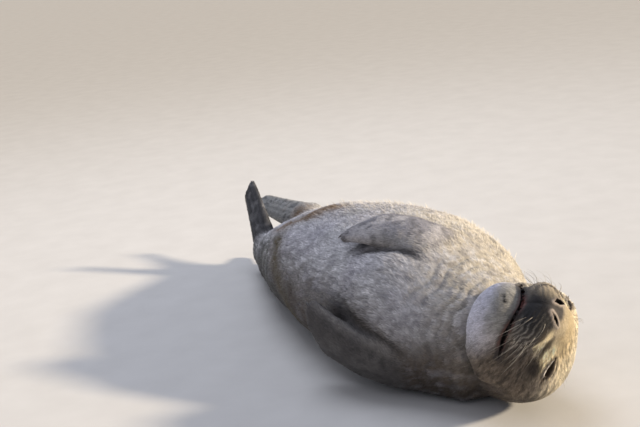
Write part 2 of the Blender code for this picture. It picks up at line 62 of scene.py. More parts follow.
# ------------------------------------------------------------------ the body's form, as the solids have it
SECTION_TILT = math.radians(12)     # lean of the soft section
BODY_ROLL = math.radians(45)        # turn of the belly to the near side
SEC_W = vec(0, math.cos(SECTION_TILT), math.sin(SECTION_TILT))
SEC_H = vec(0, -math.sin(SECTION_TILT), math.cos(SECTION_TILT))
LAT = vec(0, math.cos(BODY_ROLL), math.sin(BODY_ROLL))
VEN = vec(0, -math.sin(BODY_ROLL), math.cos(BODY_ROLL))
STATIONS = (                        # station x, half width, half height
    (-0.585, 0.030, 0.026),         # tail root
    (-0.550, 0.048, 0.040),
    (-0.497, 0.074, 0.060),         # pelvis
    (-0.397, 0.109, 0.083),         # hips
    (-0.277, 0.137, 0.099),         # loin
    (-0.139, 0.155, 0.107),         # belly
    (-0.018, 0.162, 0.110),         # greatest girth
    (0.083, 0.147, 0.104),          # shoulder
    (0.176, 0.113, 0.086),
    (0.240, 0.062, 0.050),
)
SETTLE = 0.012                      # how far the soft body has settled on the floor
SECTION_POWER = 2.15
FLOOR_ROUND = 0.010                 # rounding where the body meets the floor


def station_table(col, n=600):
    s = np.array(STATIONS)
    xs, ys = s[:, 0], s[:, col]
    d = np.diff(ys) / np.diff(xs)
    m = np.zeros_like(ys)
    a, b = d[:-1], d[1:]
    m[1:-1] = np.where(a * b > 0, 2 * a * b / (a + b + 1e-12), 0)
    m[0], m[-1] = d[0], d[-1]
    x = np.linspace(xs[0], xs[-1], n)
    i = np.clip(np.searchsorted(xs, x) - 1, 0, len(xs) - 2)
    h = xs[i + 1] - xs[i]
    t = (x - xs[i]) / h
    return x, ((2*t**3 - 3*t**2 + 1) * ys[i] + (t**3 - 2*t**2 + t) * h * m[i]
               + (3*t**2 - 2*t**3) * ys[i + 1] + (t**3 - t**2) * h * m[i + 1])


TX, TW = station_table(1)
TH = station_table(2)[1]
TC = np.maximum(np.sqrt((TH * math.cos(SECTION_TILT))**2 + (TW * math.sin(SECTION_TILT))**2) - SETTLE, 0.030)


def smin(a, b, k):
    h = np.clip(0.5 + 0.5 * (b - a) / k, 0.0, 1.0)
    return b + (a - b) * h - k * h * (1.0 - h)


def smax(a, b, k):
    return -smin(-a, -b, k)


def ellipsoid(q, r):
    r = np.asarray(r)
    k0 = np.sqrt(((q / r)**2).sum(-1)) + 1e-9
    k1 = np.sqrt(((q / r**2)**2).sum(-1)) + 1e-9
    return k0 * (k0 - 1.0) / k1


def limb(p, a, b, n, ra, rb, fa=1.0, fb=None):
    """A tapered rod from a to b, flattened along n by fa at a and fb at b."""
    fb = fa if fb is None else fb
    ab = b - a
    t = np.clip((p - a) @ ab / (ab @ ab), 0, 1)
    off = p - a - t[..., None] * ab
    r = ra + (rb - ra) * t
    f = fa + (fb - fa) * t
    on = off @ n
    rest = np.sqrt(np.maximum((off**2).sum(-1) - on**2, 0))
    k0 = np.sqrt((rest / r)**2 + (on / (r * f))**2) + 1e-9
    k1 = np.sqrt((rest / r**2)**2 + (on / (r * f)**2)**2) + 1e-9
    return np.where(k0 < 1e-3, -r * f, k0 * (k0 - 1) / k1)


def trunk(p):
    x = p[..., 0]
    xc = np.clip(x, TX[0], TX[-1])
    w, h, cz = np.interp(xc, TX, TW), np.interp(xc, TX, TH), np.interp(xc, TX, TC)
    y, z = p[..., 1], p[..., 2] - cz
    l = y * SEC_W[1] + z * SEC_W[2]
    v = y * SEC_H[1] + z * SEC_H[2]
    q = (np.abs(l / w)**SECTION_POWER + np.abs(v / h)**SECTION_POWER)**(1 / SECTION_POWER) + 1e-9
    k1 = np.sqrt((l / w**2)**2 + (v / h**2)**2) + 1e-9
    e = np.where(q < 0.3, -h * (1 - q), q * (q - 1) / k1)
    dx = np.abs(x - xc)
    return np.where(dx > 1e-9, np.sqrt(np.maximum(e, 0)**2 + dx**2), e)


def on_trunk(x, deg, lift=0.0):
    """The point on the trunk at station x, deg round from the belly midline toward the right side."""
    w, h, cz = (float(np.interp(x, TX, t)) for t in (TW, TH, TC))
    a = math.radians(deg)
    d = math.cos(a) * VEN + math.sin(a) * LAT
    l, v = d @ SEC_W, d @ SEC_H
    s = 1 / ((abs(l / w)**SECTION_POWER + abs(v / h)**SECTION_POWER)**(1 / SECTION_POWER))
    g = unit(np.sign(l) * (abs(l / w)**(SECTION_POWER - 1)) / w * SEC_W
             + np.sign(v) * (abs(v / h)**(SECTION_POWER - 1)) / h * SEC_H)
    return vec(x, 0, cz) + s * d + lift * g, g


# ------------------------------------------------------------------ head: forward, up (crown), right
HEAD_AT = vec(0.2977, 0.0164, 0.0915)
HEAD_F = unit(vec(0.8078, -0.0394, 0.5881))
HEAD_U = vec(0.4089, 0.7560, -0.5111)
HEAD_U = unit(HEAD_U - (HEAD_U @ HEAD_F) * HEAD_F)
HEAD_R = np.cross(HEAD_F, HEAD_U)
HEAD_M = np.stack([HEAD_F, HEAD_U, HEAD_R], 1)
HEAD_FORMS = (                                             # centre, radii, blend
    ((0.000, 0.002, 0.002), (0.082, 0.064, 0.077), 0.0),     # cranium
    ((-0.030, -0.006, 0.0), (0.070, 0.064, 0.069), 0.020),  # nape
    ((0.012, -0.036, 0.0), (0.070, 0.050, 0.074), 0.022),  # jowl
    ((0.064, 0.006, 0.0), (0.058, 0.033, 0.040), 0.028),   # nose bridge
    ((0.098, -0.018, 0.0), (0.045, 0.031, 0.033), 0.020),  # muzzle
    ((0.052, -0.060, 0.0), (0.056, 0.035, 0.046), 0.018),  # chin
)
SIDES = (                                                  # forms on both sides
    ((0.026, 0.008, 0.038), (0.050, 0.044, 0.042), 0.022),  # temples
    ((0.104, -0.025, 0.021), (0.033, 0.023, 0.024), 0.014),  # whisker pads
)
NECK_FROM, NECK_R0, NECK_R1 = vec(0.09, -0.010, 0.103), 0.116, 0.074


def to_head(p):
    return (p - HEAD_AT) @ HEAD_M


def from_head(*q):
    return HEAD_AT + HEAD_M @ np.array(q, float)


def head(p):
    q = to_head(p)
    d = None
    for c, r, k in HEAD_FORMS:
        e = ellipsoid(q - vec(*c), r)
        d = e if d is None else smin(d, e, k)
    for c, r, k in SIDES:
        for s in (-1, 1):
            d = smin(d, ellipsoid(q - vec(*c) * vec(1, 1, s), r), k)
    return d


def neck(p):
    return limb(p, NECK_FROM, HEAD_AT - 0.01 * HEAD_F, vec(0, 0, 1), NECK_R0 * 1.12, NECK_R1, 0.86, 1.0)


# ------------------------------------------------------------------ fore flippers
FORE_WIDTH = 0.088
SHOULDER_SINK = 0.085               # how the upper arm goes down into the shoulder
DIGIT_LEN = (1.0, 0.96, 0.90, 0.815, 0.72)


class Fore:
    """A fore flipper lying over the trunk: root and tip stations, and its height off the body at both."""

    def __init__(self, root, tip, side, lift0, lift1):
        self.root, n0 = on_trunk(*root, lift0)
        tip, n1 = on_trunk(*tip, lift1)
        n = unit(n0 + n1)
        span = tip - self.root
        self.d = unit(span - (span @ n) * n)
        self.n = n
        self.b = np.cross(n, self.d) * side       # toward the thumb edge
        self.len = float(np.linalg.norm(span))
        self.side, self.lift0, self.lift1 = side, lift0, lift1

    def flat(self, p):
        """Flipper coordinates: along, toward the thumb, off the body."""
        q = p - self.root
        a, b = q @ self.d, q @ self.b
        t = np.clip(a / self.len, -0.3, 1.3)
        sink = SHOULDER_SINK * np.maximum(0.25 - t, 0)**2
        return np.stack([a, b, trunk(p) - self.lift0 - (self.lift1 - self.lift0) * t + sink], -1)

    def place(self, a, b, c):
        """The point in space at flipper coordinates."""
        p = self.root + a * self.d + b * self.b
        for _ in range(12):
            p = p + (c - self.flat(p)[2]) * self.n * 0.9
        return p

    def digits(self):
        w = FORE_WIDTH
        for i, l in enumerate(DIGIT_LEN):
            yield vec(0.20 * self.len, (0.26 - 0.13 * i) * w, 0), vec(l * self.len - 0.010, (0.29 - 0.15 * i) * w, 0)

    def field(self, p):
        q = self.flat(p)
        n, w = vec(0, 0, 1), FORE_WIDTH
        d = limb(q, vec(-0.015, 0.0, 0), vec(0.52 * self.len, 0.0, 0), n, 0.43 * w, 0.40 * w, 0.66, 0.42)
        for i, (a, b) in enumerate(self.digits()):
            d = smin(d, limb(q, a, b, n, 0.0145 if i == 0 else 0.0130, 0.0114 - 0.0004 * i, 0.84, 0.74), 0.010)
        return np.maximum(d, -0.05 - (p - self.root) @ self.n)


FORE = {
    'left': Fore((0.146, -62), (0.020, -47), -1, 0.004, 0.030),
    'right': Fore((0.104, 38), (-0.033, 10), 1, 0.020, 0.020),
}

# ------------------------------------------------------------------ hind flippers and tail
HIND_DIGITS = (0.90, 0.93, 0.95, 0.975, 1.0)


class Hind:
    """A hind flipper: ankle, tip, the plane's normal, the width across the digit ends and the palm's half width."""

    def __init__(self, ankle, tip, normal, spread, palm):
        self.root = ankle
        self.d = unit(tip - ankle)
        self.len = float(np.linalg.norm(tip - ankle))
        self.n = unit(normal - (normal @ self.d) * self.d)
        self.b = np.cross(self.n, self.d)
        self.spread, self.palm = spread, palm

    def flat(self, p):
        q = p - self.root
        return np.stack([q @ self.d, q @ self.b, q @ self.n], -1)

    def place(self, a, b, c):
        return self.root + a * self.d + b * self.b + c * self.n

    def digits(self):
        for i, l in enumerate(HIND_DIGITS):
            u = (i - 2) / 2
            yield vec(0.22 * self.len, 0.55 * u * self.palm, 0), vec(l * self.len - 0.007, 0.5 * u * self.spread, 0)

    def field(self, p):
        q = self.flat(p)
        n = vec(0, 0, 1)
        d = limb(q, vec(-0.008, 0, 0), vec(0.50 * self.len, 0, 0), n, self.palm, 0.020, 0.74, 0.46)
        rays = list(self.digits())
        for i, (a, b) in enumerate(rays):
            d = smin(d, limb(q, a, b, n, 0.0115, 0.0085 if i in (0, 4) else 0.0072, 0.66, 0.62), 0.008)
        for (a0, b0), (a1, b1) in zip(rays, rays[1:]):
            d = smin(d, limb(q, (a0 + a1) / 2, (b0 + b1) / 2 - vec(0.014, 0, 0), n, 0.012, 0.013, 0.32, 0.26), 0.004)
        return d


HIND = {
    'left': Hind(vec(-0.555, -0.034, 0.050), vec(-0.660, -0.021, 0.166), vec(-0.37, 0.87, -0.29), 0.023, 0.034),
    'right': Hind(vec(-0.546, 0.054, 0.100), vec(-0.738, 0.022, 0.110), vec(0.10, -0.60, 0.78), 0.024, 0.038),
}
HAUNCH_X, HAUNCH_R, ANKLE_R = -0.44, 0.056, 0.031


def haunches(p):
    a = limb(p, vec(HAUNCH_X, -0.034, 0.068), HIND['left'].root, vec(1, 0, 0), HAUNCH_R, ANKLE_R)
    b = limb(p, vec(HAUNCH_X, 0.040, 0.084), HIND['right'].root, vec(1, 0, 0), HAUNCH_R, ANKLE_R)
    return smin(a, b, 0.012)


TAIL_ROOT, TAIL_TIP = vec(-0.565, 0.014, 0.044), vec(-0.650, 0.012, 0.028)


def tail(p):
    return limb(p, TAIL_ROOT, TAIL_TIP, VEN, 0.024, 0.015, 0.62, 0.5)


def body(p):
    d = trunk(p)
    d = smin(d, neck(p), 0.05)
    d = smin(d, head(p), 0.032)
    d = smin(d, haunches(p), 0.030)
    return smax(d, -p[..., 2], FLOOR_ROUND)
EYE_R = 0.0170
EYE_AT = {'left': vec(0.0560, 0.0150, -0.0320), 'right': vec(0.0560, 0.0150, 0.0320)}
SIDE = {'left': -1, 'right': 1}
SHIFT = np.array((Vector(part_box('eye_left')[0]) + Vector(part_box('eye_left')[1])) / 2) - from_head(*EYE_AT['left'])
FAR = 1.0                           # a field value for a part that is out of reach

# ------------------------------------------------------------------ the skin under the coat
BODY_COAT, FACE_COAT, PAW_COAT = 0.0045, 0.0021, 0.0014


def near(fn, p, at, reach):
    """fn only where p is within reach of at."""
    out = np.full(p.shape[:-1], FAR)
    m = ((p - at)**2).sum(-1) < reach * reach
    if m.any():
        out[m] = fn(p[m])
    return out


FORE_MID = {k: FORE[k].place(FORE[k].len * 0.5, 0, 0) for k in FORE}
HIND_MID = {k: HIND[k].root + HIND[k].d * 0.06 for k in HIND}


def forms(p):
    """The named forms' fields at p: trunk, neck, head, haunches, fore and hind flippers, tail."""
    f = {'trunk': trunk(p), 'neck': near(neck, p, vec(0.19, 0, 0.10), 0.26), 'head': near(head, p, HEAD_AT, 0.24),
         'haunch': near(haunches, p, vec(-0.49, 0.005, 0.07), 0.22), 'tail': near(tail, p, TAIL_ROOT, 0.14)}
    for k in ('left', 'right'):
        f['fore_' + k] = near(FORE[k].field, p, FORE_MID[k], 0.17)
        f['hind_' + k] = near(HIND[k].field, p, HIND_MID[k], 0.19)
    return f


# ------------------------------------------------------------------ the face, in head coordinates
class Eye:
    def __init__(self, k):
        s = SIDE[k]
        self.c = EYE_AT[k]
        self.n = unit(vec(0.62, 0.31, 0.72 * s))
        t = vec(0.73, 0.14, -0.67 * s)
        self.t = unit(t - (t @ self.n) * self.n)      # toward the inner corner
        b = np.cross(self.n, self.t)
        self.b = b if b[1] > 0 else -b                # toward the crown

    def local(self, q):
        d = q - self.c
        return d @ self.t, d @ self.b, d @ self.n, np.linalg.norm(d, axis=-1)


EYES = {k: Eye(k) for k in SIDE}
SLIT = 0.0142                       # half length of the lid opening
LID_R = EYE_R + 0.0016


def lids(x):
    """The lower and upper lid lines across the opening, squinting, wider to the outer corner."""
    lo = -0.0030 * (1 - ((x + 0.001) / SLIT)**2)
    up = 0.0046 * (1 - ((x + 0.0035) / (SLIT + 0.0025))**2)
    return lo, up


def bump(x, w):
    return np.exp(-(x / w)**2)


NOSTRIL = (vec(0.1425, -0.0160, 0.0080), vec(0.1380, -0.0080, 0.0132), vec(0.1290, 0.0010, 0.0172))
NOSTRIL_W = np.array((0.0014, 0.0042, 0.0036, 0.0022, 0.0010))
SHUT_W = np.array((0.0012, 0.0020, 0.0023, 0.0021, 0.0012))
CHIN_DOTS = (vec(0.1040, -0.0728, 0.0052), vec(0.1052, -0.0702, -0.0024))
MOUTH = (vec(0.0560, -0.0425, 0.0580), vec(0.0680, -0.0450, 0.0505), vec(0.0830, -0.0515, 0.0395), vec(0.0960, -0.0520, 0.0300),
         vec(0.1080, -0.0490, 0.0180), vec(0.1140, -0.0490, 0.0080), vec(0.1155, -0.0505, 0.0000))
EAR = vec(0.006, 0.020, 0.073)


def chain(q, pts, widths):
    """Distance to a polyline, less its width, and how far along it the nearest place is."""
    best, at = None, None
    for i, (a, b) in enumerate(zip(pts, pts[1:])):
        ab = b - a
        t = np.clip((q - a) @ ab / (ab @ ab), 0, 1)
        d = np.linalg.norm(q - a - t[..., None] * ab, axis=-1) - (widths[i] + (widths[i + 1] - widths[i]) * t)
        if best is None:
            best, at = d, i + t
        else:
            at = np.where(d < best, i + t, at)
            best = np.minimum(best, d)
    return best, at


def mirror(pts):
    return tuple(p * vec(1, 1, -1) for p in pts)


MOUTH_ALL = MOUTH + mirror(MOUTH[:-1][::-1])
MOUTH_W = np.interp(np.linspace(-1, 1, 19), (-1, -0.8, -0.5, 0, 0.5, 0.8, 1), (0.0007, 0.0018, 0.0023, 0.0030, 0.0023, 0.0018, 0.0007))
LAID = {}                           # the nostril and mouth lines once laid on the head's surface


def opening(q, which, widths, step_in, times):
    """Distance to an opening's line on the surface, and to the channel that runs inward from it."""
    at, out = LAID[which]
    first, _ = chain(q, at, widths)
    deep = first
    for i in range(1, times):
        e, _ = chain(q, at - out * (i * step_in), widths * (1 - 0.07 * i))
        deep = np.minimum(deep, e)
    return first, deep


def nostrils(q):
    """Both nostrils, as opening() gives them; the seal's left one is pressed nearly shut."""
    line, out = LAID['nostril']
    m = q * vec(1, 1, 0) + np.abs(q) * vec(0, 0, 1)
    first = deep = None
    for i in range(5):
        dist, at = chain(m, line - out * (i * 0.0022), np.zeros(5))
        w = np.where(q[..., 2] < 0, np.interp(at, range(5), SHUT_W), np.interp(at, range(5), NOSTRIL_W))
        e = dist - w * (1 - 0.07 * i)
        first, deep = (e, e) if first is None else (first, np.minimum(deep, e))
    return first, deep


def mouth(q):
    return opening(q, 'mouth', MOUTH_W, 0.0016, 4)


def face(q, d):
    """Lids, folds, nostrils, pads, lips and ear worked into the head's field d at head coordinates q."""
    r = np.abs(q[..., 2])
    qm = np.stack([q[..., 0], q[..., 1], r], -1)
    # whisker pads, with the rows the whiskers grow in, and the groove between them
    pad = step(0.085, 0.105, qm[..., 0]) * step(0.008, 0.015, r) * step(-0.052, -0.044, qm[..., 1]) * step(-0.004, -0.012, qm[..., 1])
    d = d + 0.00045 * pad * np.cos((qm[..., 1] + 0.25 * (r - 0.02)) * 2 * math.pi / 0.0058)
    d = d + 0.0008 * bump(q[..., 2], 0.0022) * step(0.105, 0.118, qm[..., 0]) * step(-0.052, -0.044, qm[..., 1]) * step(-0.006, -0.016, qm[..., 1])
    # the nose leather stands a little proud, with a shallow dip along its middle
    d = d - 0.0012 * bump(np.hypot(q[..., 2] / 0.022, (qm[..., 1] + 0.008) / 0.016), 1.0) * step(0.10, 0.125, qm[..., 0])
    d = d + 0.0010 * bump(q[..., 2], 0.0035) * step(0.115, 0.13, qm[..., 0]) * step(-0.02, -0.010, qm[..., 1]) * step(0.012, 0.0, qm[..., 1])
    m = q[..., 0] > 0.040
    if m.any():
        d = d.copy()
        # nostrils: a raised rim, then a deep curved opening
        dd = d[m]
        e, deep = nostrils(q[m])
        dd = dd - 0.0013 * bump(e - 0.0012, 0.0016)
        dd = smax(dd, -deep, 0.0008)
        # lips: a soft roll on each side of the closed mouth, then its line
        e, deep = mouth(q[m])
        front = 0.35 + 0.65 * step(0.075, 0.105, q[m][..., 0])
        dd = dd - 0.0017 * front * bump(e - 0.0022, 0.0026)
        d[m] = smax(dd, -deep, 0.0010)
    for c in LAID['dots'][0]:
        d = d + 0.0011 * bump(np.linalg.norm(q - c, axis=-1), 0.0022)
    # ear openings
    e = ellipsoid(qm - EAR, (0.0030, 0.0018, 0.006))
    d = smax(d, -e, 0.0020)
    # eyes
    for eye in EYES.values():
        x, y, z, rad = eye.local(q)
        m = (rad < 0.040) & (z > 0)
        if not m.any():
            continue
        X, Y, Rr, dd = x[m], y[m], rad[m], d[m]
        lo, up = lids(X)
        w = np.exp(-(X / (SLIT * 1.05))**4)
        dd = smin(dd, Rr - LID_R, 0.0070)
        dd = dd - 0.0009 * w * bump(Y - up - 0.0022, 0.0015) + 0.0015 * w * bump(Y - up - 0.0052, 0.0012)
        dd = dd - 0.0008 * w * bump(lo - Y - 0.0026, 0.0016) + 0.0014 * w * bump(lo - Y - 0.0056, 0.0012)
        dd = dd - 0.0012 * w * bump(Y - up - 0.0085, 0.0026)
        dd = dd + 0.0009 * np.exp(-(X / 0.016)**4) * bump(lo - Y - 0.0105, 0.0014)
        # creases that run out from both corners
        for cx, sgn, ln in ((-SLIT, -1, 0.010), (SLIT, 1, 0.008)):
            u = (X - cx) * sgn
            on = step(-0.002, 0.001, u) * step(ln, ln * 0.4, u)
            dd = dd + 0.0013 * on * bump(Y + 0.10 * u, 0.0011)
            dd = dd + 0.0006 * on * (bump(Y - 0.0036 - 0.35 * u, 0.0011) + bump(Y + 0.0036 + 0.45 * u, 0.0011))
        opening = np.maximum(np.maximum(Y - up, lo - Y), (EYE_R - 0.0028) - Rr)
        d = d.copy()
        d[m] = smax(dd, -opening, 0.0007)
    return d


FOLDS = ((0.019, 0.0034, 0.0032), (0.034, 0.0030, 0.0024), (0.048, 0.0032, 0.0026), (0.066, 0.0036, 0.0020), (0.084, 0.0040, 0.0014))


def throat(around):
    return step(math.radians(125), math.radians(80), np.abs(around)), 0.003 * np.sin(around * 5 + 0.7) + 0.002 * np.sin(around * 11)


def folded(p):
    """How deep in a throat or neck fold p lies, from 0 to 1."""
    f = forms(p)
    h = f['head'] - np.minimum(f['trunk'], f['neck'])
    around = np.arctan2((p - vec(0, 0, 0.1)) @ LAT, (p - vec(0, 0, 0.1)) @ VEN)
    belly, wav = throat(around)
    out = bump(h + 0.001 + wav, 0.0055)
    for at, w, a in FOLDS:
        out = out + a / 0.0045 * bump(h + 1.4 * wav - at, w * 0.9) * (0.65 + 0.35 * np.sin(around * 3 + at * 90))
    return np.clip(out, 0, 1) * belly * (h > -0.03) * (f['head'] < 0.20) * step(0.088, 0.066, to_head(p)[..., 0])


def creases(p, f):
    """Soft folds of the throat and neck, and at the flipper roots."""
    h = f['head'] - np.minimum(f['trunk'], f['neck'])
    around = np.arctan2((p - vec(0, 0, 0.1)) @ LAT, (p - vec(0, 0, 0.1)) @ VEN)
    belly, wav = throat(around)
    out = 0.0075 * bump(h + 0.001 + wav, 0.0075)
    for at, w, a in FOLDS:
        out = out + a * bump(h + 1.4 * wav - at, w) * (0.65 + 0.35 * np.sin(around * 3 + at * 90))
    out = out * belly * (h > -0.03) * (f['head'] < 0.20)
    # shallow rolls over the loin and hips
    x = p[..., 0]
    for at, a in ((-0.315, 0.0014), (-0.352, 0.0020), (-0.402, 0.0020), (-0.438, 0.0018)):
        out = out + a * bump(x - at + 0.010 * np.sin(around * 2.3 + at * 40), 0.0055)
    return out


def waves(p):
    """Slow unevenness of a soft body."""
    x, y, z = p[..., 0], p[..., 1], p[..., 2]
    return (0.0009 * np.sin(31 * x + 17 * y + 2.0 * np.sin(19 * z + 9 * x)) + 0.0007 * np.sin(47 * y - 29 * x + 23 * z)
            + 0.0005 * np.sin(71 * x + 63 * z - 11 * y + 1.3))


def depth(p):
    q = to_head(p)
    return BODY_COAT + (FACE_COAT - BODY_COAT) * step(-0.050, 0.030, q[..., 0]) * step(0.17, 0.12, np.linalg.norm(q, axis=-1))


def plain(p):
    """The skin before the face is worked: the forms joined softly, less the coat's depth."""
    f = forms(p)
    d = smin(f['trunk'], f['neck'], 0.05)
    d = smin(d, f['head'], 0.015)
    d = smin(d, f['haunch'], 0.030)
    d = smax(d, -p[..., 2], FLOOR_ROUND) + depth(p)
    q = to_head(p)
    away = step(0.02, -0.05, q[..., 0]) + step(0.12, 0.16, np.linalg.norm(q, axis=-1))
    d = d + waves(p) * step(0.0, 0.03, p[..., 2]) * np.clip(away, 0, 1) + creases(p, f) * step(0.088, 0.066, q[..., 0])
    for k in ('left', 'right'):
        d = smin(d, f['hind_' + k] + PAW_COAT, 0.014)
    d = smin(d, f['tail'] + PAW_COAT, 0.012)
    for k in ('left', 'right'):
        F = FORE[k]
        g = F.flat(p)
        a = g[..., 0]
        edge = g[..., 1] / FORE_WIDTH
        d = d + 0.0040 * bump(edge - 0.50, 0.09) * step(-0.20, 0.0, a / F.len) * step(0.80, 0.60, a / F.len) * step(0.032, 0.016, f['fore_' + k])
        d = smin(d, f['fore_' + k] + PAW_COAT, 0.001 + 0.020 * np.clip(1 - a / (0.35 * F.len), 0, 1))
    return d


def skin(p):
    """The one skin, with the worked face."""
    d = plain(p)
    q = to_head(p)
    m = (q[..., 0] > -0.03) & (np.linalg.norm(q, axis=-1) < 0.18)
    if m.any():
        d[m] = face(q[m], d[m])
    return smax(d, 0.0012 - p[..., 2], 0.002)


# ------------------------------------------------------------------ meshing a function
def surface_nets(fn, lo, hi, cell):
    """Quads over the zero of fn in the box lo..hi."""
    lo = np.array(lo, float)
    n = np.ceil((np.array(hi) - lo) / cell).astype(int) + 1
    xs = [lo[i] + np.arange(n[i]) * cell for i in range(3)]
    f = np.empty(n)
    yz = np.stack(np.meshgrid(xs[1], xs[2], indexing='ij'), -1).reshape(-1, 2)
    for i, x in enumerate(xs[0]):
        f[i] = fn(np.column_stack([np.full(len(yz), x), yz])).reshape(n[1], n[2])
    inside = f < 0
    nc = n - 1
    acc, num = np.zeros(tuple(nc) + (3,)), np.zeros(nc)

    def at(c):
        return tuple(slice(c[i], c[i] + nc[i]) for i in range(3))
    for ax in range(3):
        o = [i for i in range(3) if i != ax]
        for u in (0, 1):
            for v in (0, 1):
                c0 = [0, 0, 0]
                c0[o[0]], c0[o[1]] = u, v
                c1 = list(c0)
                c1[ax] = 1
                f0, f1 = f[at(c0)], f[at(c1)]
                x = (f0 < 0) != (f1 < 0)
                t = np.where(x, f0 / np.where(x, f0 - f1, 1), 0)
                for i in range(3):
                    acc[..., i] += np.where(x, (t if i == ax else c0[i]), 0)
                num += x
    act = num > 0
    idx = -np.ones(nc, int)
    idx[act] = np.arange(act.sum())
    verts = lo + (np.argwhere(act) + acc[act] / num[act][:, None]) * cell
    quads = []
    for ax in range(3):
        o = [i for i in range(3) if i != ax]
        s0, s1 = [slice(None)] * 3, [slice(None)] * 3
        s0[ax], s1[ax] = slice(0, n[ax] - 1), slice(1, n[ax])
        for k in o:
            s0[k] = s1[k] = slice(1, n[k] - 1)
        a, b = inside[tuple(s0)], inside[tuple(s1)]
        for out, m in ((True, a & ~b), (False, b & ~a)):
            e = np.argwhere(m)
            if not len(e):
                continue
            for k in o:
                e[:, k] += 1

            def cell_at(d0, d1):
                c = e.copy()
                c[:, o[0]] -= d0
                c[:, o[1]] -= d1
                return idx[c[:, 0], c[:, 1], c[:, 2]]
            q = np.stack([cell_at(1, 1), cell_at(0, 1), cell_at(0, 0), cell_at(1, 0)], 1)
            quads.append(q if out != (ax == 1) else q[:, ::-1])
    return verts, np.concatenate(quads)


def onto(fn, p, steps=2, most=0.006, h=4e-4):
    """Moves points onto the zero of fn along its slope."""
    for _ in range(steps):
        g = np.stack([(fn(p + e) - fn(p - e)) / (2 * h) for e in np.eye(3) * h], 1)
        s = np.clip(fn(p) / np.maximum((g**2).sum(1), 0.05), -most, most)
        p = p - s[:, None] * g
    return p


def slope(fn, p, h=4e-4):
    return np.stack([(fn(p + e) - fn(p - e)) / (2 * h) for e in np.eye(3) * h], 1)


def lay(pts, num):
    """A line near the face laid on the surface in even steps, with the surface's outward direction, in head coordinates."""
    pts = np.array(pts)
    s = np.concatenate([[0], np.cumsum(np.linalg.norm(np.diff(pts, axis=0), axis=1))])
    at = np.linspace(0, s[-1], num)
    q = np.stack([np.interp(at, s, pts[:, i]) for i in range(3)], 1)
    for _ in range(2):
        q[1:-1] = q[1:-1] * 0.5 + (q[:-2] + q[2:]) * 0.25
    p = onto(plain, HEAD_AT + q @ HEAD_M.T, 8, 0.010)
    out = unit(slope(plain, p, 0.003)) @ HEAD_M
    for _ in range(3):
        out[1:-1] = unit(out[1:-1] * 0.5 + (out[:-2] + out[2:]) * 0.25)
    return to_head(p), out


LAID['nostril'] = lay(NOSTRIL, len(NOSTRIL_W))
LAID['mouth'] = lay(MOUTH_ALL, len(MOUTH_W))
LAID['dots'] = lay(CHIN_DOTS, 2)


def target(p):
    """The edge length wanted at p."""
    q = to_head(p)
    t = np.full(len(p), 0.0064)
    for k in ('left', 'right'):
        t = np.where(((p - FORE_MID[k])**2).sum(1) < 0.13**2, np.where(FORE[k].flat(p)[:, 2] > -0.018, 0.0037, t), t)
        t = np.where(((p - HIND_MID[k])**2).sum(1) < 0.13**2, 0.0035, t)
    ahead = np.linalg.norm(q, axis=1)
    t = np.where((ahead < 0.17) & (q[:, 0] > -0.06), 0.0030, t)
    t = np.where((ahead < 0.17) & (q[:, 0] > 0.04), 0.0021, t)
    t = np.where(mouth(q)[1] < 0.0028, 0.00085, t)
    t = np.where(nostrils(q)[1] < 0.0036, 0.0009, t)
    for eye in EYES.values():
        x, y, z, rad = eye.local(q)
        t = np.where((rad < 0.034) & (z > 0) & (np.abs(y) < 0.016), 0.0011, t)
        t = np.where((rad < 0.030) & (z > 0) & (np.abs(y) < 0.0080) & (np.abs(x) < SLIT + 0.004), 0.00075, t)
    return t


def refine(fn, v, t, rounds):
    """Splits edges longer than the target, keeping the mesh closed, and puts each new point on the surface."""
    for _ in range(rounds):
        e = np.sort(np.stack([t[:, [0, 1]], t[:, [1, 2]], t[:, [2, 0]]], 1), -1)        # tri, edge, ends
        key = e[..., 0].astype(np.int64) * len(v) + e[..., 1]
        uniq, inv = np.unique(key.ravel(), return_inverse=True)
        a, b = uniq // len(v), uniq % len(v)
        length = np.linalg.norm(v[a] - v[b], axis=1)
        mark = length > 1.45 * target((v[a] + v[b]) / 2)
        inv = inv.reshape(-1, 3)
        longest = inv[np.arange(len(t)), length[inv].argmax(1)]
        for _ in range(6):                                    # a split triangle splits its longest side too
            hit = mark[inv].any(1)
            new = mark.copy()
            new[longest[hit]] = True
            if (new == mark).all():
                break
            mark = new
        if not mark.any():
            break
        mid = (v[a[mark]] + v[b[mark]]) / 2
        mid = onto(fn, mid, 2, 0.003)
        num = -np.ones(len(uniq), np.int64)
        num[mark] = len(v) + np.arange(mark.sum())
        v = np.concatenate([v, mid])
        m = num[inv]
        on = m >= 0
        code = on @ np.array([1, 2, 4])
        A, B, C, P, Q, R = t[:, 0], t[:, 1], t[:, 2], m[:, 0], m[:, 1], m[:, 2]
        rules = {0: ['ABC'], 1: ['APC', 'PBC'], 2: ['ABQ', 'AQC'], 4: ['ABR', 'RBC'], 3: ['PBQ', 'APQ', 'AQC'],
                 6: ['QCR', 'BQR', 'ABR'], 5: ['APR', 'PBC', 'PCR'], 7: ['APR', 'PBQ', 'QCR', 'PQR']}
        names = dict(A=A, B=B, C=C, P=P, Q=Q, R=R)
        t = np.concatenate([np.stack([names[c][code == k] for c in tri], 1) for k, tris in rules.items() for tri in tris])
    return v, t


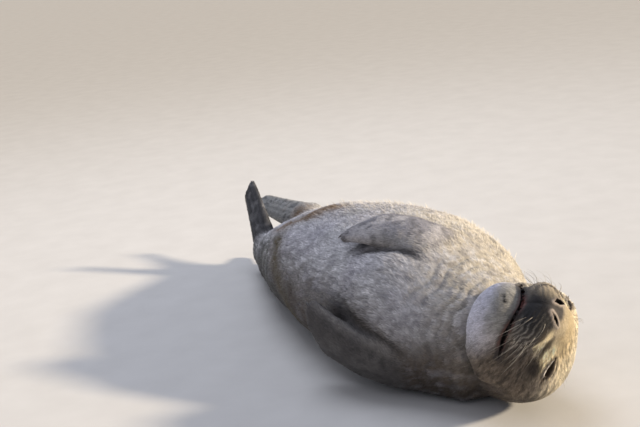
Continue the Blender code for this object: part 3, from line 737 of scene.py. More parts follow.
def relax(fn, v, t, times, share=0.45):
    """Evens the triangles along the surface."""
    e = np.concatenate([t[:, [0, 1]], t[:, [1, 2]], t[:, [2, 0]]])
    e = np.concatenate([e, e[:, ::-1]])
    n = np.bincount(e[:, 0], minlength=len(v))[:, None]
    for _ in range(times):
        mean = np.stack([np.bincount(e[:, 0], v[e[:, 1], i], len(v)) for i in range(3)], 1) / n
        nr = normals(v, t)
        move = (mean - v) * share
        move -= (move * nr).sum(1)[:, None] * nr
        v = v + move
    return onto(fn, v, 2, 0.0015)


def normals(v, t):
    fn = np.cross(v[t[:, 1]] - v[t[:, 0]], v[t[:, 2]] - v[t[:, 0]])
    n = np.stack([np.bincount(t.ravel(), np.repeat(fn[:, i], 3), len(v)) for i in range(3)], 1)
    return unit(n)


def mesh_of(name, v, t, smooth=True):
    me = bpy.data.meshes.new(name)
    me.vertices.add(len(v))
    me.vertices.foreach_set('co', np.asarray(v, np.float32).ravel())
    me.loops.add(t.size)
    me.loops.foreach_set('vertex_index', np.asarray(t, np.int32).ravel())
    me.polygons.add(len(t))
    me.polygons.foreach_set('loop_start', np.arange(0, t.size, 3, dtype=np.int32))
    me.update(calc_edges=True)
    me.polygons.foreach_set('use_smooth', np.full(len(t), smooth))
    return me


def paint_layer(me, name, rgb):
    a = me.color_attributes.new(name, 'FLOAT_COLOR', 'POINT')
    a.data.foreach_set('color', np.column_stack([rgb, np.ones(len(rgb))]).astype(np.float32).ravel())


def vector_layer(me, name, xyz):
    a = me.attributes.new(name, 'FLOAT_VECTOR', 'POINT')
    a.data.foreach_set('vector', np.asarray(xyz, np.float32).ravel())


def piece(name, me, mat):
    o = bpy.data.objects.new(name, me)
    bpy.context.scene.collection.objects.link(o)
    me.materials.append(mat)
    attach(o, 'root')
    return o


# ------------------------------------------------------------------ markings, with painted light and shade, shared by skin and coat
LIP_X = np.sort(LAID['mouth'][0][:10, 0])
LIP_U = LAID['mouth'][0][:10, 1][np.argsort(LAID['mouth'][0][:10, 0])]



def cells(i, seed):
    n = (i[..., 0] * 73856093) ^ (i[..., 1] * 19349663) ^ (i[..., 2] * 83492791) ^ (seed * 2654435)
    n = (n ^ (n >> 13)) & 0x7fffffff
    n = (n * ((n * n * 15731 + 789221) & 0x7fffffff) + 1376312589) & 0x7fffffff
    return n / 0x7fffffff


def noise(p, size, seed=1):
    """Smooth noise from 0 to 1 with features about size across."""
    q = p / size
    i = np.floor(q).astype(np.int64)
    f = q - i
    f = f * f * (3 - 2 * f)
    out = 0
    for c in np.ndindex(2, 2, 2):
        w = np.prod([f[..., k] if c[k] else 1 - f[..., k] for k in range(3)], axis=0)
        out = out + w * cells(i + np.array(c), seed)
    return out


def mix(a, b, w):
    return a + (np.asarray(b, float) - a) * np.clip(w, 0, 1)[:, None]


def blob(q, c, r, soft=0.45):
    """1 inside an ellipsoid, falling off across its edge."""
    d = np.sqrt((((q - np.array(c)) / np.array(r))**2).sum(-1))
    return step(1 + soft, 1 - soft, d)


NOSE = vec(0.150, -0.012, 0.0)
# LAVENDER and CHIN are pale greys whose bluish cast is partly painted skylight in the shade
LAVENDER = (0.52, 0.505, 0.545)
SILVER = (0.58, 0.57, 0.575)
CREAM = (0.66, 0.59, 0.47)
BACK = (0.17, 0.160, 0.150)
BROWN = (0.200, 0.125, 0.065)
OLIVE = (0.120, 0.096, 0.058)
# painted shade with a brown cast of bounced light, for the near side by the ground
SHADE_BROWN = (0.105, 0.080, 0.060)
CHARCOAL = (0.022, 0.021, 0.023)
FOREHEAD = (0.56, 0.450, 0.280)
CHIN = (0.69, 0.685, 0.78)


def regions(p):
    """How much of each part a place on the skin is."""
    f = forms(p)
    d = {'body': np.minimum(np.minimum(f['trunk'], f['neck']), f['haunch']), 'head': f['head'], 'tail': f['tail'],
         'fore_left': f['fore_left'], 'fore_right': f['fore_right'], 'hind_left': f['hind_left'], 'hind_right': f['hind_right']}
    m = np.min(list(d.values()), axis=0)
    w = {k: np.exp(-np.clip(x - m, 0, 1) / (0.012 if k == 'head' else 0.0035)) for k, x in d.items()}
    s = sum(w.values())
    return {k: x / s for k, x in w.items()}


def turn(p):
    """Degrees round the trunk from the belly midline, positive to the seal's right."""
    cz = np.interp(np.clip(p[:, 0], TX[0], TX[-1]), TX, TC)
    rel = np.stack([np.zeros(len(p)), p[:, 1], p[:, 2] - cz], 1)
    return np.degrees(np.arctan2(rel @ LAT, rel @ VEN))


def body_paint(p):
    x, a = p[:, 0], turn(p)
    n1, n2, n3 = noise(p, 0.055, 3), noise(p, 0.020, 5), noise(p, 0.0075, 9)
    c = np.tile(LAVENDER, (len(p), 1))
    c = mix(c, SILVER, step(0.25, 0.85, n1) * 0.8)
    flank = np.abs(a) + 26 * (n1 - 0.5) + 12 * (n2 - 0.5)
    # cream over the right shoulder, side and neck, partly the fur's own colour and partly painted warm sunlight on the
    # right side
    c = mix(c, CREAM, step(18, 62, a + 25 * (n1 - 0.5)) * (0.35 + 0.55 * step(-0.20, 0.06, x)))
    c = mix(c, CREAM, 0.75 * step(0.10, 0.22, x) * step(-25, 30, a))
    # the near side goes brownish toward the ground: partly the fur's own brownish grey, then darker brown as painted
    # shade with a painted brown bounce light
    edge = -24 + 34 * step(0.17, 0.26, x) + 16 * (n2 - 0.5)
    c = mix(c, (0.215, 0.200, 0.180), 0.8 * step(16, -16, a - edge))
    c = mix(c, SHADE_BROWN, 0.90 * step(0, -34, a - edge))
    # the back
    c = mix(c, BACK, step(98, 142, flank))
    c = mix(c, (0.36, 0.33, 0.29), 0.6 * step(0.45, 0.75, n2) * step(110, 150, flank))
    # hips: a brown band on the far side and an olive one at the ankles
    ridge = 0.92 * bump(x - np.interp(a, (0, 4, 12, 35, 50), (-0.37, -0.35, -0.30, -0.277, -0.27)) + 0.024 * (n2 - 0.5), 0.046) * step(-12, -2, a) * step(66, 46, a)
    ridge = np.maximum(ridge, 0.85 * bump(x + 0.515 + 0.02 * (n1 - 0.5), 0.045) * bump(a - 64, 16))
    band = x + 0.385 + 0.0033 * a + 0.008 * (n2 - 0.5)
    # darker near-side hips and the olive band at the ankles: partly the fur's own colour, partly painted shade
    c = mix(c, (0.125, 0.128, 0.118), 0.80 * step(-0.03, -0.06, band) * step(0, -14, a))
    olive = 0.90 * bump(band - 0.012, 0.042) * step(-4, -16, a) * step(-84, -62, a)
    c = mix(c, (0.30, 0.29, 0.29), 0.75 * step(-0.545, -0.575, x))
    # painted shade: the near flank is darkest by the ground
    c = mix(c, (0.055, 0.043, 0.033), 0.80 * step(0.085, 0.02, p[:, 2] + 0.02 * (n2 - 0.5)) * step(-25, -60, a))
    # streaks of dark and white hair along the lie
    fine = noise(p * vec(0.30, 1, 1), 0.0042, 77)
    wide = noise(p * vec(0.40, 1, 1), 0.011, 78)
    c = mix(c, (0.22, 0.215, 0.235), 0.45 * step(0.62, 0.84, fine) * step(120, 80, np.abs(a)))
    c = mix(c, (0.84, 0.83, 0.85), 0.50 * step(0.42, 0.22, fine) * step(105, 65, a) * step(-46, -22, a - 30 * step(0.17, 0.26, x)))
    c = mix(c, (0.36, 0.35, 0.385), 0.30 * step(0.60, 0.82, wide) * step(110, 70, np.abs(a)))
    c = mix(c, (0.76, 0.75, 0.77), 0.35 * step(0.42, 0.22, wide) * step(95, 60, a) * step(-46, -22, a - 30 * step(0.17, 0.26, x)))
    c = mix(mix(c, BROWN, ridge * (0.75 + 0.5 * fine)), OLIVE, olive * (0.75 + 0.5 * fine))
    # irregular dark spots, thickest on the back and sides, faint on the belly
    s = noise(p * vec(0.8, 1, 1), 0.016, 21) + 0.35 * (noise(p, 0.006, 22) - 0.5)
    c = mix(c, (0.20, 0.195, 0.20), step(0.70, 0.80, s) * (0.06 + 0.55 * step(50, 100, np.abs(a))))
    c = mix(c, (0.28, 0.275, 0.29), 0.20 * step(0.66, 0.82, n3) * step(115, 70, np.abs(a)))
    # painted shade in the gap along each fore flipper's thumb edge and on the body close under it
    for k, w in (('left', 0.93), ('right', 0.85)):
        e = near(FORE[k].field, p, FORE_MID[k], 0.17)
        g = FORE[k].flat(p)
        l, b = g[:, 0] / FORE[k].len, g[:, 1] / FORE_WIDTH + 0.05 * (n2 - 0.5)
        line = bump(b - 0.50, 0.090) * step(-0.24, -0.04, l) * step(0.80, 0.60, l) * step(0.030, 0.016, e)
        close = step(0.20, 0.40, l) * step(0.027 if k == 'left' else 0.014, 0.007 if k == 'left' else 0.004, e + 0.004 * (n2 - 0.5))
        c = mix(c, (0.036, 0.031, 0.030), w * np.maximum(line, close))
    return c


def head_paint(p):
    q = to_head(p)
    qm = q * vec(1, 1, 0) + np.abs(q) * vec(0, 0, 1)
    n1, n2, n3 = noise(p, 0.030, 31), noise(p, 0.011, 33), noise(p, 0.0045, 35)
    true = to_head(p)
    wob = 0.006 * (n2 - 0.5)
    qm = qm + wob[:, None]
    q = q + wob[:, None]
    c = np.tile((0.42, 0.37, 0.31), (len(p), 1))
    c = mix(c, (0.30, 0.265, 0.225), step(0.35, 0.75, n1) * 0.6)
    c = mix(c, (0.24, 0.21, 0.18), blob(q, (-0.06, 0.05, 0), (0.07, 0.05, 0.09)) * 0.8)
    # lower cheeks and throat: dark brown on the left, darkest by the ground, as painted shade; paler cream on the
    # right, partly the fur's own cream and partly painted sunlight
    c = mix(c, (0.105, 0.078, 0.056), blob(q, (0.032, -0.024, -0.064), (0.084, 0.052, 0.052)) * 0.90)
    c = mix(c, (0.070, 0.052, 0.038), step(0.070, 0.02, p[:, 2]) * step(0.0, -0.04, q[:, 2]) * 0.75)
    c = mix(c, CREAM, blob(q, (0.030, -0.020, 0.070), (0.08, 0.07, 0.05)) * 0.75)
    # crown and forehead: cream-yellow, partly the fur's own colour and partly painted warm sunlight
    c = mix(c, (0.56, 0.49, 0.36), blob(qm, (0.045, 0.055, 0.0), (0.070, 0.040, 0.075)) * 0.9)
    c = mix(c, FOREHEAD, blob(qm, (0.095, 0.022, 0.0), (0.050, 0.030, 0.042)) * 0.95)
    c = mix(c, (0.70, 0.62, 0.47), step(0.55, 0.85, n2) * blob(qm, (0.07, 0.04, 0.0), (0.07, 0.05, 0.07)) * 0.5)
    c = mix(c, (0.42, 0.34, 0.20), step(0.62, 0.85, n3) * blob(qm, (0.07, 0.04, 0.0), (0.07, 0.05, 0.07)) * 0.45)
    # chin and throat, pale, with a bluish cast that is partly painted skylight in the shade
    c = mix(c, CHIN, blob(q, (0.050, -0.085, 0.004), (0.058, 0.042, 0.054)) * 0.95)
    c = mix(c, (0.33, 0.325, 0.30), blob(q, (0.098, -0.064, -0.004), (0.030, 0.018, 0.040)) * 0.85)
    # muzzle
    c = mix(c, (0.085, 0.076, 0.068), blob(qm, (0.110, -0.028, 0.022), (0.036, 0.026, 0.030)) * 0.9)
    c = mix(c, (0.045, 0.043, 0.044), blob(qm, (0.138, -0.028, 0.0), (0.030, 0.023, 0.030), 0.30) * 0.9)
    # the near side of the muzzle darkest: dark wet fur, partly painted shade
    c = mix(c, CHARCOAL, blob(q, (0.134, -0.029, -0.017), (0.036, 0.025, 0.025), 0.30))
    c = mix(c, (0.060, 0.054, 0.052), blob(qm, (0.136, -0.010, 0.0), (0.018, 0.012, 0.013), 0.35))
    # light and dark streaks along the pads and cheeks
    stripe = 0.5 + 0.5 * np.sin((qm[:, 1] * 0.9 + 0.35 * qm[:, 2] + 0.002 * (n3 - 0.5)) * 2 * math.pi / 0.0062)
    onpad = blob(qm, (0.098, -0.030, 0.036), (0.034, 0.022, 0.022))
    c = mix(c, (0.050, 0.045, 0.043), onpad * step(0.50, 0.85, stripe) * 0.80)
    c = mix(c, (0.42, 0.39, 0.35), onpad * step(0.35, 0.10, stripe) * 0.50)
    # dark rows over the far pad, running from the lip to the bridge
    bars = 0.5 + 0.5 * np.sin((q[:, 0] * 0.9 - 0.25 * q[:, 1] + 0.002 * (n3 - 0.5)) * 2 * math.pi / 0.0100)
    far = blob(q, (0.112, -0.022, 0.032), (0.032, 0.024, 0.022))
    # the far pad's pale cream is partly painted sunlight on the far side
    c = mix(c, (0.60, 0.51, 0.38), far * 0.88)
    c = mix(c, (0.055, 0.048, 0.045), far * step(0.50, 0.75, bars) * 0.90)
    # pale cream tufts between muzzle and eye, their brightness partly painted sunlight, with painted shade in the dark
    # folds between them
    c = mix(c, (0.88, 0.75, 0.50), blob(qm, (0.104, -0.0045, 0.033), (0.021, 0.0074, 0.019), 0.4) * 0.97)
    c = mix(c, (0.88, 0.75, 0.50), blob(qm, (0.088, 0.0110, 0.042), (0.023, 0.0074, 0.021), 0.4) * 0.97)
    c = mix(c, (0.075, 0.058, 0.040), blob(qm, (0.098, 0.0040, 0.038), (0.020, 0.0036, 0.017), 0.5) * 0.90)
    c = mix(c, (0.085, 0.066, 0.046), blob(qm, (0.113, -0.0130, 0.034), (0.018, 0.0038, 0.015), 0.5) * 0.85)
    # hair in streaks that run back from the nose
    ray = true - NOSE
    polar = np.stack([np.linalg.norm(ray, axis=1) * 0.28, np.arctan2(ray[:, 1], ray[:, 2]) * 0.075, np.zeros(len(p))], 1)
    hair = noise(polar, 0.0019, 81) * 0.6 + noise(polar, 0.0050, 82) * 0.4
    back = step(0.110, 0.085, true[:, 0]) * (1 - 0.85 * blob(true, (0.050, -0.085, 0.004), (0.062, 0.046, 0.060)))
    c = c * (1 + back * (0.55 * step(0.50, 0.28, hair) - 0.50 * step(0.50, 0.72, hair)))[:, None]
    # dark under the eye
    c = mix(c, (0.030, 0.024, 0.021), blob(qm, (0.067, 0.0035, 0.0525), (0.0150, 0.0090, 0.0140), 0.5) * 0.97)
    # round the nostrils: a brownish rim, a painted highlight along the sunlit rim, and painted shade deep inside
    e, deep = nostrils(true)
    inner = step(-0.001, 0.003, np.interp(true[:, 1], [-0.016, 0.0], [0.0080, 0.0172]) - np.abs(true[:, 2]) + 0.002)
    c = mix(c, (0.30, 0.24, 0.20), 0.55 * bump(e - 0.0016, 0.0016))
    c = mix(c, (0.50, 0.43, 0.37), 0.60 * bump(e - 0.0018, 0.0012) * np.where(true[:, 2] < 0, 1.0, inner))
    c = mix(c, (0.010, 0.007, 0.007), step(0.0010, 0.0002, deep))
    # lips: dark along the line, flesh pink only near the middle of the upper lip
    e, deep = mouth(true)
    up = step(-0.0010, 0.0012, true[:, 1] - np.interp(true[:, 0], LIP_X, LIP_U))
    c = mix(c, (0.050, 0.042, 0.040), step(0.0075, 0.0015, e) * 0.88)
    c = mix(c, (0.30, 0.150, 0.140), bump(e - 0.0022, 0.0014) * (0.35 + 0.65 * up) * step(0.090, 0.106, true[:, 0]) * step(0.018, 0.010, np.abs(true[:, 2] + 0.002)) * 0.85)
    c = mix(c, (0.17, 0.075, 0.062), bump(e - 0.0020, 0.0012) * step(0.006, -0.004, np.abs(true[:, 2] + 0.036) - 0.010) * 0.7)
    # painted shade deep in the closed mouth's line
    c = mix(c, (0.010, 0.006, 0.006), step(0.0019, 0.0007, deep))
    wall = step(-0.0006, 0.0008, true[:, 1] - np.interp(true[:, 0], LIP_X, LIP_U))
    c = mix(c, (0.40, 0.190, 0.175), 0.9 * wall * step(0.0020, 0.0008, deep) * step(0.016, 0.009, np.abs(true[:, 2] - 0.006)) * step(0.095, 0.103, true[:, 0]))
    # lids
    for eye in EYES.values():
        x, y, z, rad = eye.local(to_head(p))
        lo, up = lids(x)
        w = (z > 0) * step(0.036, 0.030, rad) * np.exp(-(x / (SLIT * 1.30))**6)
        out = np.maximum(y - up, lo - y)
        c = mix(c, (0.060, 0.045, 0.038), w * step(0.0050, 0.0025, lo - y) * step(-0.002, 0.0, lo - y) * 0.95)
        c = mix(c, (0.055, 0.038, 0.030), w * step(0.0036, 0.0012, y - up) * step(-0.002, 0.0, y - up) * 0.92)
        # painted highlight along the lower lid's margin
        c = mix(c, (0.80, 0.74, 0.68), w * bump(lo - y - 0.0012, 0.00115) * np.exp(-(x / (SLIT * 0.95))**6) * 0.96)
        # painted shade inside the lid opening
        c = mix(c, (0.012, 0.009, 0.008), w * step(-0.0004, -0.0014, out))
        duct = (z > 0) * bump(y + 0.10 * (x - SLIT), 0.0016) * step(SLIT - 0.002, SLIT + 0.001, x) * step(SLIT + 0.008, SLIT + 0.003, x)
        c = mix(c, (0.040, 0.026, 0.020), duct * 0.9)
        duct = (z > 0) * bump(y - 0.10 * (x + SLIT), 0.0020) * step(-SLIT + 0.002, -SLIT - 0.001, x) * step(-SLIT - 0.010, -SLIT - 0.003, x)
        c = mix(c, (0.060, 0.040, 0.030), duct * 0.8)
    e = ellipsoid(qm - EAR, (0.0045, 0.0028, 0.008))
    c = mix(c, (0.06, 0.045, 0.04), step(0.002, -0.001, e))
    # two dark whisker roots on the chin
    for dot in LAID['dots'][0]:
        c = mix(c, (0.022, 0.020, 0.020), 1.4 * bump(np.linalg.norm(to_head(p) - dot, axis=1), 0.0032))
    return c


def fore_paint(p, k):
    q = FORE[k].flat(p)
    a, b = q[:, 0] / FORE[k].len, q[:, 1] / FORE_WIDTH
    n1, n2 = noise(p, 0.018, 41), noise(p, 0.0085, 43)
    # the far (right) flipper is pale as painted sunlight and the near (left) one dark as painted shade, over their own
    # mottles
    if k == 'right':
        c = np.tile((0.36, 0.35, 0.375), (len(p), 1))
        c = mix(c, (0.62, 0.59, 0.59), step(0.40, 0.75, n1) * 0.7)
        c = mix(c, (0.16, 0.155, 0.165), step(0.60, 0.74, n2) * 0.6)
        c = mix(c, (0.30, 0.285, 0.26), 0.6 * step(0.10, 0.40, b) * step(0.7, 0.3, a))
        # painted shade on the thumb edge's side toward the body
        c = mix(c, (0.070, 0.062, 0.055), 0.85 * step(0.36, 0.50, b + 0.10 * (n2 - 0.5)) * step(0.006, -0.006, q[:, 2]))
    else:
        c = np.tile((0.105, 0.098, 0.096), (len(p), 1))
        c = mix(c, (0.175, 0.165, 0.158), step(0.42, 0.75, n1) * 0.55)
        c = mix(c, (0.055, 0.052, 0.052), step(0.62, 0.76, n2) * 0.45)
        # painted highlight along the top of the thumb edge
        c = mix(c, (0.30, 0.275, 0.25), 0.70 * step(0.32, 0.46, b + 0.08 * (n2 - 0.5)) * step(-0.004, 0.004, q[:, 2]))
    c = mix(c, (0.13, 0.12, 0.12), step(0.80, 1.0, a) * 0.55)
    return mix(c, (0.10, 0.088, 0.078), 0.55 * step(-0.20, -0.42, b))


def hind_paint(p, k):
    q = HIND[k].flat(p)
    n1, n2 = noise(p, 0.018, 51), noise(p, 0.008, 53)
    # the near (left) flipper dark as painted shade, the far (right) one pale as painted sunlight, each over its own
    # mottles
    if k == 'left':
        c = mix(np.tile((0.105, 0.105, 0.112), (len(p), 1)), (0.24, 0.24, 0.25), step(0.50, 0.78, n2) * 0.8)
        c = mix(c, (0.05, 0.048, 0.05), step(0.55, 0.80, n1) * 0.6)
    else:
        c = mix(np.tile((0.38, 0.38, 0.37), (len(p), 1)), (0.11, 0.11, 0.115), step(0.60, 0.74, n2) * 0.65)
        c = mix(c, (0.50, 0.46, 0.42), step(0.55, 0.85, n1) * 0.4)
    rays = 0.5 + 0.5 * np.cos(q[:, 1] / np.maximum(0.012, 0.25 * HIND[k].spread * np.clip(q[:, 0] / HIND[k].len, 0.1, 1)) * 2 * math.pi)
    # painted highlight along the near flipper's curled edge toward its tip
    if k == 'left':
        rim = step(0.62, 0.95, np.abs(q[:, 1]) / np.interp(q[:, 0] / HIND[k].len, (0, 0.5, 1), (HIND[k].palm, 0.021, 0.5 * HIND[k].spread + 0.007)))
        c = mix(c, (0.42, 0.37, 0.32), 0.55 * rim * step(0.45, 0.85, q[:, 0] / HIND[k].len) * step(0.002, -0.002, q[:, 1]))
    return c * (0.80 + 0.30 * rays)[:, None]


def paint(p, w=None):
    """The colour of the seal at p."""
    w = regions(p) if w is None else w
    # the tail takes the near hind flipper's colours, their painted shade included, 1.3 times as light
    parts = {'body': body_paint, 'head': head_paint, 'tail': lambda x: hind_paint(x, 'left') * 1.3,
             'fore_left': lambda x: fore_paint(x, 'left'), 'fore_right': lambda x: fore_paint(x, 'right'),
             'hind_left': lambda x: hind_paint(x, 'left'), 'hind_right': lambda x: hind_paint(x, 'right')}
    c = np.zeros((len(p), 3))
    for k, fn in parts.items():
        m = w[k] > 0.003
        if m.any():
            c[m] += w[k][m, None] * fn(p[m])
    c = c / sum(w.values())[:, None]
    # painted shade in the throat and neck folds
    m = w['body'] + w['head'] > 0.5
    c[m] *= (1 - 0.58 * folded(p[m]))[:, None]
    return np.clip(c, 0.004, 0.9)


# ------------------------------------------------------------------ how the coat lies


def lie(p, n, w):
    """The direction the hair lies in at p, along the surface."""
    sway = np.stack([noise(p, 0.050, s) - 0.5 for s in (61, 62, 63)], 1)
    back = np.tile(vec(-1, 0, 0), (len(p), 1)) + 0.55 * sway + 0.16 * np.outer(step(60, 140, np.abs(turn(p))), vec(0, 0, -1))
    q = to_head(p)
    away = (q - NOSE) @ HEAD_M.T
    away = unit(away) + 0.20 * sway
    face = step(-0.075, 0.01, q[:, 0]) * step(0.19, 0.13, np.linalg.norm(q, axis=1))
    v = back * (1 - face)[:, None] + away * face[:, None]
    for k in ('left', 'right'):
        F, H = FORE[k], HIND[k]
        b = F.flat(p)[:, 1] / FORE_WIDTH
        v = v * (1 - w['fore_' + k])[:, None] + w['fore_' + k][:, None] * (F.d + 0.5 * np.outer(b, F.b) + 0.12 * sway)
        b = H.flat(p)[:, 1] / H.spread
        v = v * (1 - w['hind_' + k])[:, None] + w['hind_' + k][:, None] * (H.d + 0.7 * np.outer(b, H.b) + 0.12 * sway)
    v = v * (1 - w['tail'])[:, None] + w['tail'][:, None] * unit(TAIL_TIP - TAIL_ROOT)
    v = v - (v * n).sum(1)[:, None] * n
    return unit(v)


def bare(p):
    """1 where no hair grows: in the eyes, nostrils and mouth, and on the nose leather."""
    q = to_head(p)
    qm = q * vec(1, 1, 0) + np.abs(q) * vec(0, 0, 1)
    out = np.zeros(len(p))
    near_head = np.linalg.norm(q, axis=1) < 0.20
    out = np.maximum(out, nostrils(q)[1] < 0.0026)
    out = np.maximum(out, mouth(q)[1] < 0.0018)
    out = np.maximum(out, blob(qm, (0.142, -0.010, 0.0), (0.020, 0.014, 0.018), 0.1) > 0.5)
    for dot in LAID['dots'][0]:
        out = np.maximum(out, np.linalg.norm(q - dot, axis=1) < 0.0019)
    for eye in EYES.values():
        x, y, z, rad = eye.local(q)
        lo, up = lids(x)
        out = np.maximum(out, (z > 0) & (rad < 0.034) & (np.abs(x) < SLIT + 0.002) & (y < up + 0.0016) & (y > lo - 0.0020))
        out = np.maximum(out, (rad < EYE_R + 0.0004))
    out = np.maximum(out, ellipsoid(qm - EAR, (0.0034, 0.0022, 0.0070)) < 0)
    return (out > 0) & near_head


# ------------------------------------------------------------------ materials
def mat(name, rough=0.6, spec=0.35):
    m = bpy.data.materials.new(name)
    m.use_nodes = True
    nt = m.node_tree
    b = nt.nodes['Principled BSDF']
    b.inputs['Roughness'].default_value = rough
    b.inputs['Specular IOR Level'].default_value = spec
    return m, nt, b


def node(nt, kind, **values):
    n = nt.nodes.new(kind)
    for k, v in values.items():
        if k in n.inputs:
            n.inputs[k].default_value = v
        else:
            setattr(n, k, v)
    return n


def ramp(nt, fac, stops):
    r = nt.nodes.new('ShaderNodeValToRGB')
    nt.links.new(fac, r.inputs['Fac'])
    e = r.color_ramp.elements
    while len(e) < len(stops):
        e.new(0.5)
    for el, (at, v) in zip(e, stops):
        el.position = at
        el.color = (v, v, v, 1) if np.isscalar(v) else (*v, 1)
    return r.outputs['Color']


def times(nt, a, b):
    m = nt.nodes.new('ShaderNodeMix')
    m.data_type, m.blend_type = 'RGBA', 'MULTIPLY'
    m.inputs['Factor'].default_value = 1.0
    nt.links.new(a, m.inputs['A'])
    nt.links.new(b, m.inputs['B'])
    return m.outputs['Result']


def skin_material():
    """Short lying hair over skin: the markings with their painted light and shade, fine hair streaks along the lie,
    pores and creases.
    """
    m, nt, b = mat('seal_skin', 0.62, 0.22)
    mark = node(nt, 'ShaderNodeAttribute', attribute_name='mark')
    flow = node(nt, 'ShaderNodeAttribute', attribute_name='flow')
    here = node(nt, 'ShaderNodeTexCoord')
    stretch = node(nt, 'ShaderNodeVectorMath', operation='MULTIPLY')
    stretch.inputs[1].default_value = (110, 850, 200)
    nt.links.new(flow.outputs['Vector'], stretch.inputs[0])
    streak = node(nt, 'ShaderNodeTexNoise', Scale=1.0, Detail=3.0, Roughness=0.6)
    nt.links.new(stretch.outputs['Vector'], streak.inputs['Vector'])
    mottle = node(nt, 'ShaderNodeTexNoise', Scale=95.0, Detail=4.0, Roughness=0.6)
    nt.links.new(here.outputs['Object'], mottle.inputs['Vector'])
    pores = node(nt, 'ShaderNodeTexVoronoi', Scale=620.0)
    nt.links.new(here.outputs['Object'], pores.inputs['Vector'])
    c = times(nt, mark.outputs['Color'], ramp(nt, streak.outputs['Fac'], ((0.30, 0.62), (0.52, 0.98), (0.72, 1.22))))
    c = times(nt, c, ramp(nt, mottle.outputs['Fac'], ((0.32, 0.80), (0.55, 1.0), (0.75, 1.12))))
    nt.links.new(c, b.inputs['Base Color'])
    nt.links.new(ramp(nt, mottle.outputs['Fac'], ((0.3, 0.52), (0.7, 0.70))), b.inputs['Roughness'])
    b1 = node(nt, 'ShaderNodeBump', Strength=0.55, Distance=0.0006)
    nt.links.new(streak.outputs['Fac'], b1.inputs['Height'])
    b2 = node(nt, 'ShaderNodeBump', Strength=0.25, Distance=0.0004)
    nt.links.new(pores.outputs['Distance'], b2.inputs['Height'])
    nt.links.new(b1.outputs['Normal'], b2.inputs['Normal'])
    nt.links.new(b2.outputs['Normal'], b.inputs['Normal'])
    return m


def coat_material():
    m, nt, b = mat('seal_coat', 0.55, 0.24)
    mark = node(nt, 'ShaderNodeAttribute', attribute_name='mark')
    here = node(nt, 'ShaderNodeTexCoord')
    mottle = node(nt, 'ShaderNodeTexNoise', Scale=95.0, Detail=4.0, Roughness=0.6)
    nt.links.new(here.outputs['Object'], mottle.inputs['Vector'])
    c = times(nt, mark.outputs['Color'], ramp(nt, mottle.outputs['Fac'], ((0.32, 0.80), (0.55, 1.0), (0.75, 1.12))))
    nt.links.new(c, b.inputs['Base Color'])
    nt.links.new(ramp(nt, mottle.outputs['Fac'], ((0.3, 0.42), (0.7, 0.60))), b.inputs['Roughness'])
    b.inputs['Sheen Weight'].default_value = 0.04
    b.inputs['Sheen Roughness'].default_value = 0.45
    return m


def eye_material():
    """Black-brown globe: a wide pupil, a dark iris with faint rays, a wet clear surface."""
    m, nt, b = mat('eye_wet', 0.07, 0.55)
    at = node(nt, 'ShaderNodeAttribute', attribute_name='gaze')
    sep = node(nt, 'ShaderNodeSeparateXYZ')
    nt.links.new(at.outputs['Vector'], sep.inputs['Vector'])
    rays = node(nt, 'ShaderNodeTexNoise', Scale=1.0, Detail=2.0)
    nt.links.new(at.outputs['Vector'], rays.inputs['Vector'])
    look = ramp(nt, sep.outputs['X'], ((0.0, (0.002, 0.002, 0.0025)), (0.30, (0.003, 0.0025, 0.0025)), (0.36, (0.020, 0.011, 0.006)),
                                       (0.62, (0.030, 0.016, 0.009)), (0.72, (0.010, 0.007, 0.006)), (1.0, (0.030, 0.022, 0.020))))
    c = times(nt, look, ramp(nt, rays.outputs['Fac'], ((0.3, 0.65), (0.7, 1.3))))
    nt.links.new(c, b.inputs['Base Color'])
    b.inputs['Coat Weight'].default_value = 1.0
    b.inputs['Coat Roughness'].default_value = 0.03
    return m


def claw_material():
    m, nt, b = mat('claw_horn', 0.35, 0.5)
    at = node(nt, 'ShaderNodeAttribute', attribute_name='horn')
    sep = node(nt, 'ShaderNodeSeparateXYZ')
    nt.links.new(at.outputs['Vector'], sep.inputs['Vector'])
    squash = node(nt, 'ShaderNodeVectorMath', operation='MULTIPLY')
    squash.inputs[1].default_value = (1.5, 22.0, 22.0)
    nt.links.new(at.outputs['Vector'], squash.inputs[0])
    grain = node(nt, 'ShaderNodeTexNoise', Scale=1.0, Detail=3.0)
    nt.links.new(squash.outputs['Vector'], grain.inputs['Vector'])
    base = ramp(nt, sep.outputs['X'], ((0.0, (0.055, 0.046, 0.040)), (0.5, (0.028, 0.024, 0.022)), (0.85, (0.050, 0.042, 0.035)), (1.0, (0.16, 0.13, 0.10))))
    nt.links.new(times(nt, base, ramp(nt, grain.outputs['Fac'], ((0.3, 0.6), (0.7, 1.4)))), b.inputs['Base Color'])
    nt.links.new(ramp(nt, grain.outputs['Fac'], ((0.3, 0.26), (0.7, 0.48))), b.inputs['Roughness'])
    bp = node(nt, 'ShaderNodeBump', Strength=0.4, Distance=0.0002)
    nt.links.new(grain.outputs['Fac'], bp.inputs['Height'])
    nt.links.new(bp.outputs['Normal'], b.inputs['Normal'])
    return m


def whisker_material():
    m, nt, b = mat('whisker', 0.40, 0.5)
    here = node(nt, 'ShaderNodeTexCoord')
    n = node(nt, 'ShaderNodeTexNoise', Scale=160.0, Detail=2.0)
    nt.links.new(here.outputs['Object'], n.inputs['Vector'])
    mark = node(nt, 'ShaderNodeAttribute', attribute_name='mark')
    nt.links.new(times(nt, mark.outputs['Color'], ramp(nt, n.outputs['Fac'], ((0.3, 0.7), (0.7, 1.25)))), b.inputs['Base Color'])
    return m


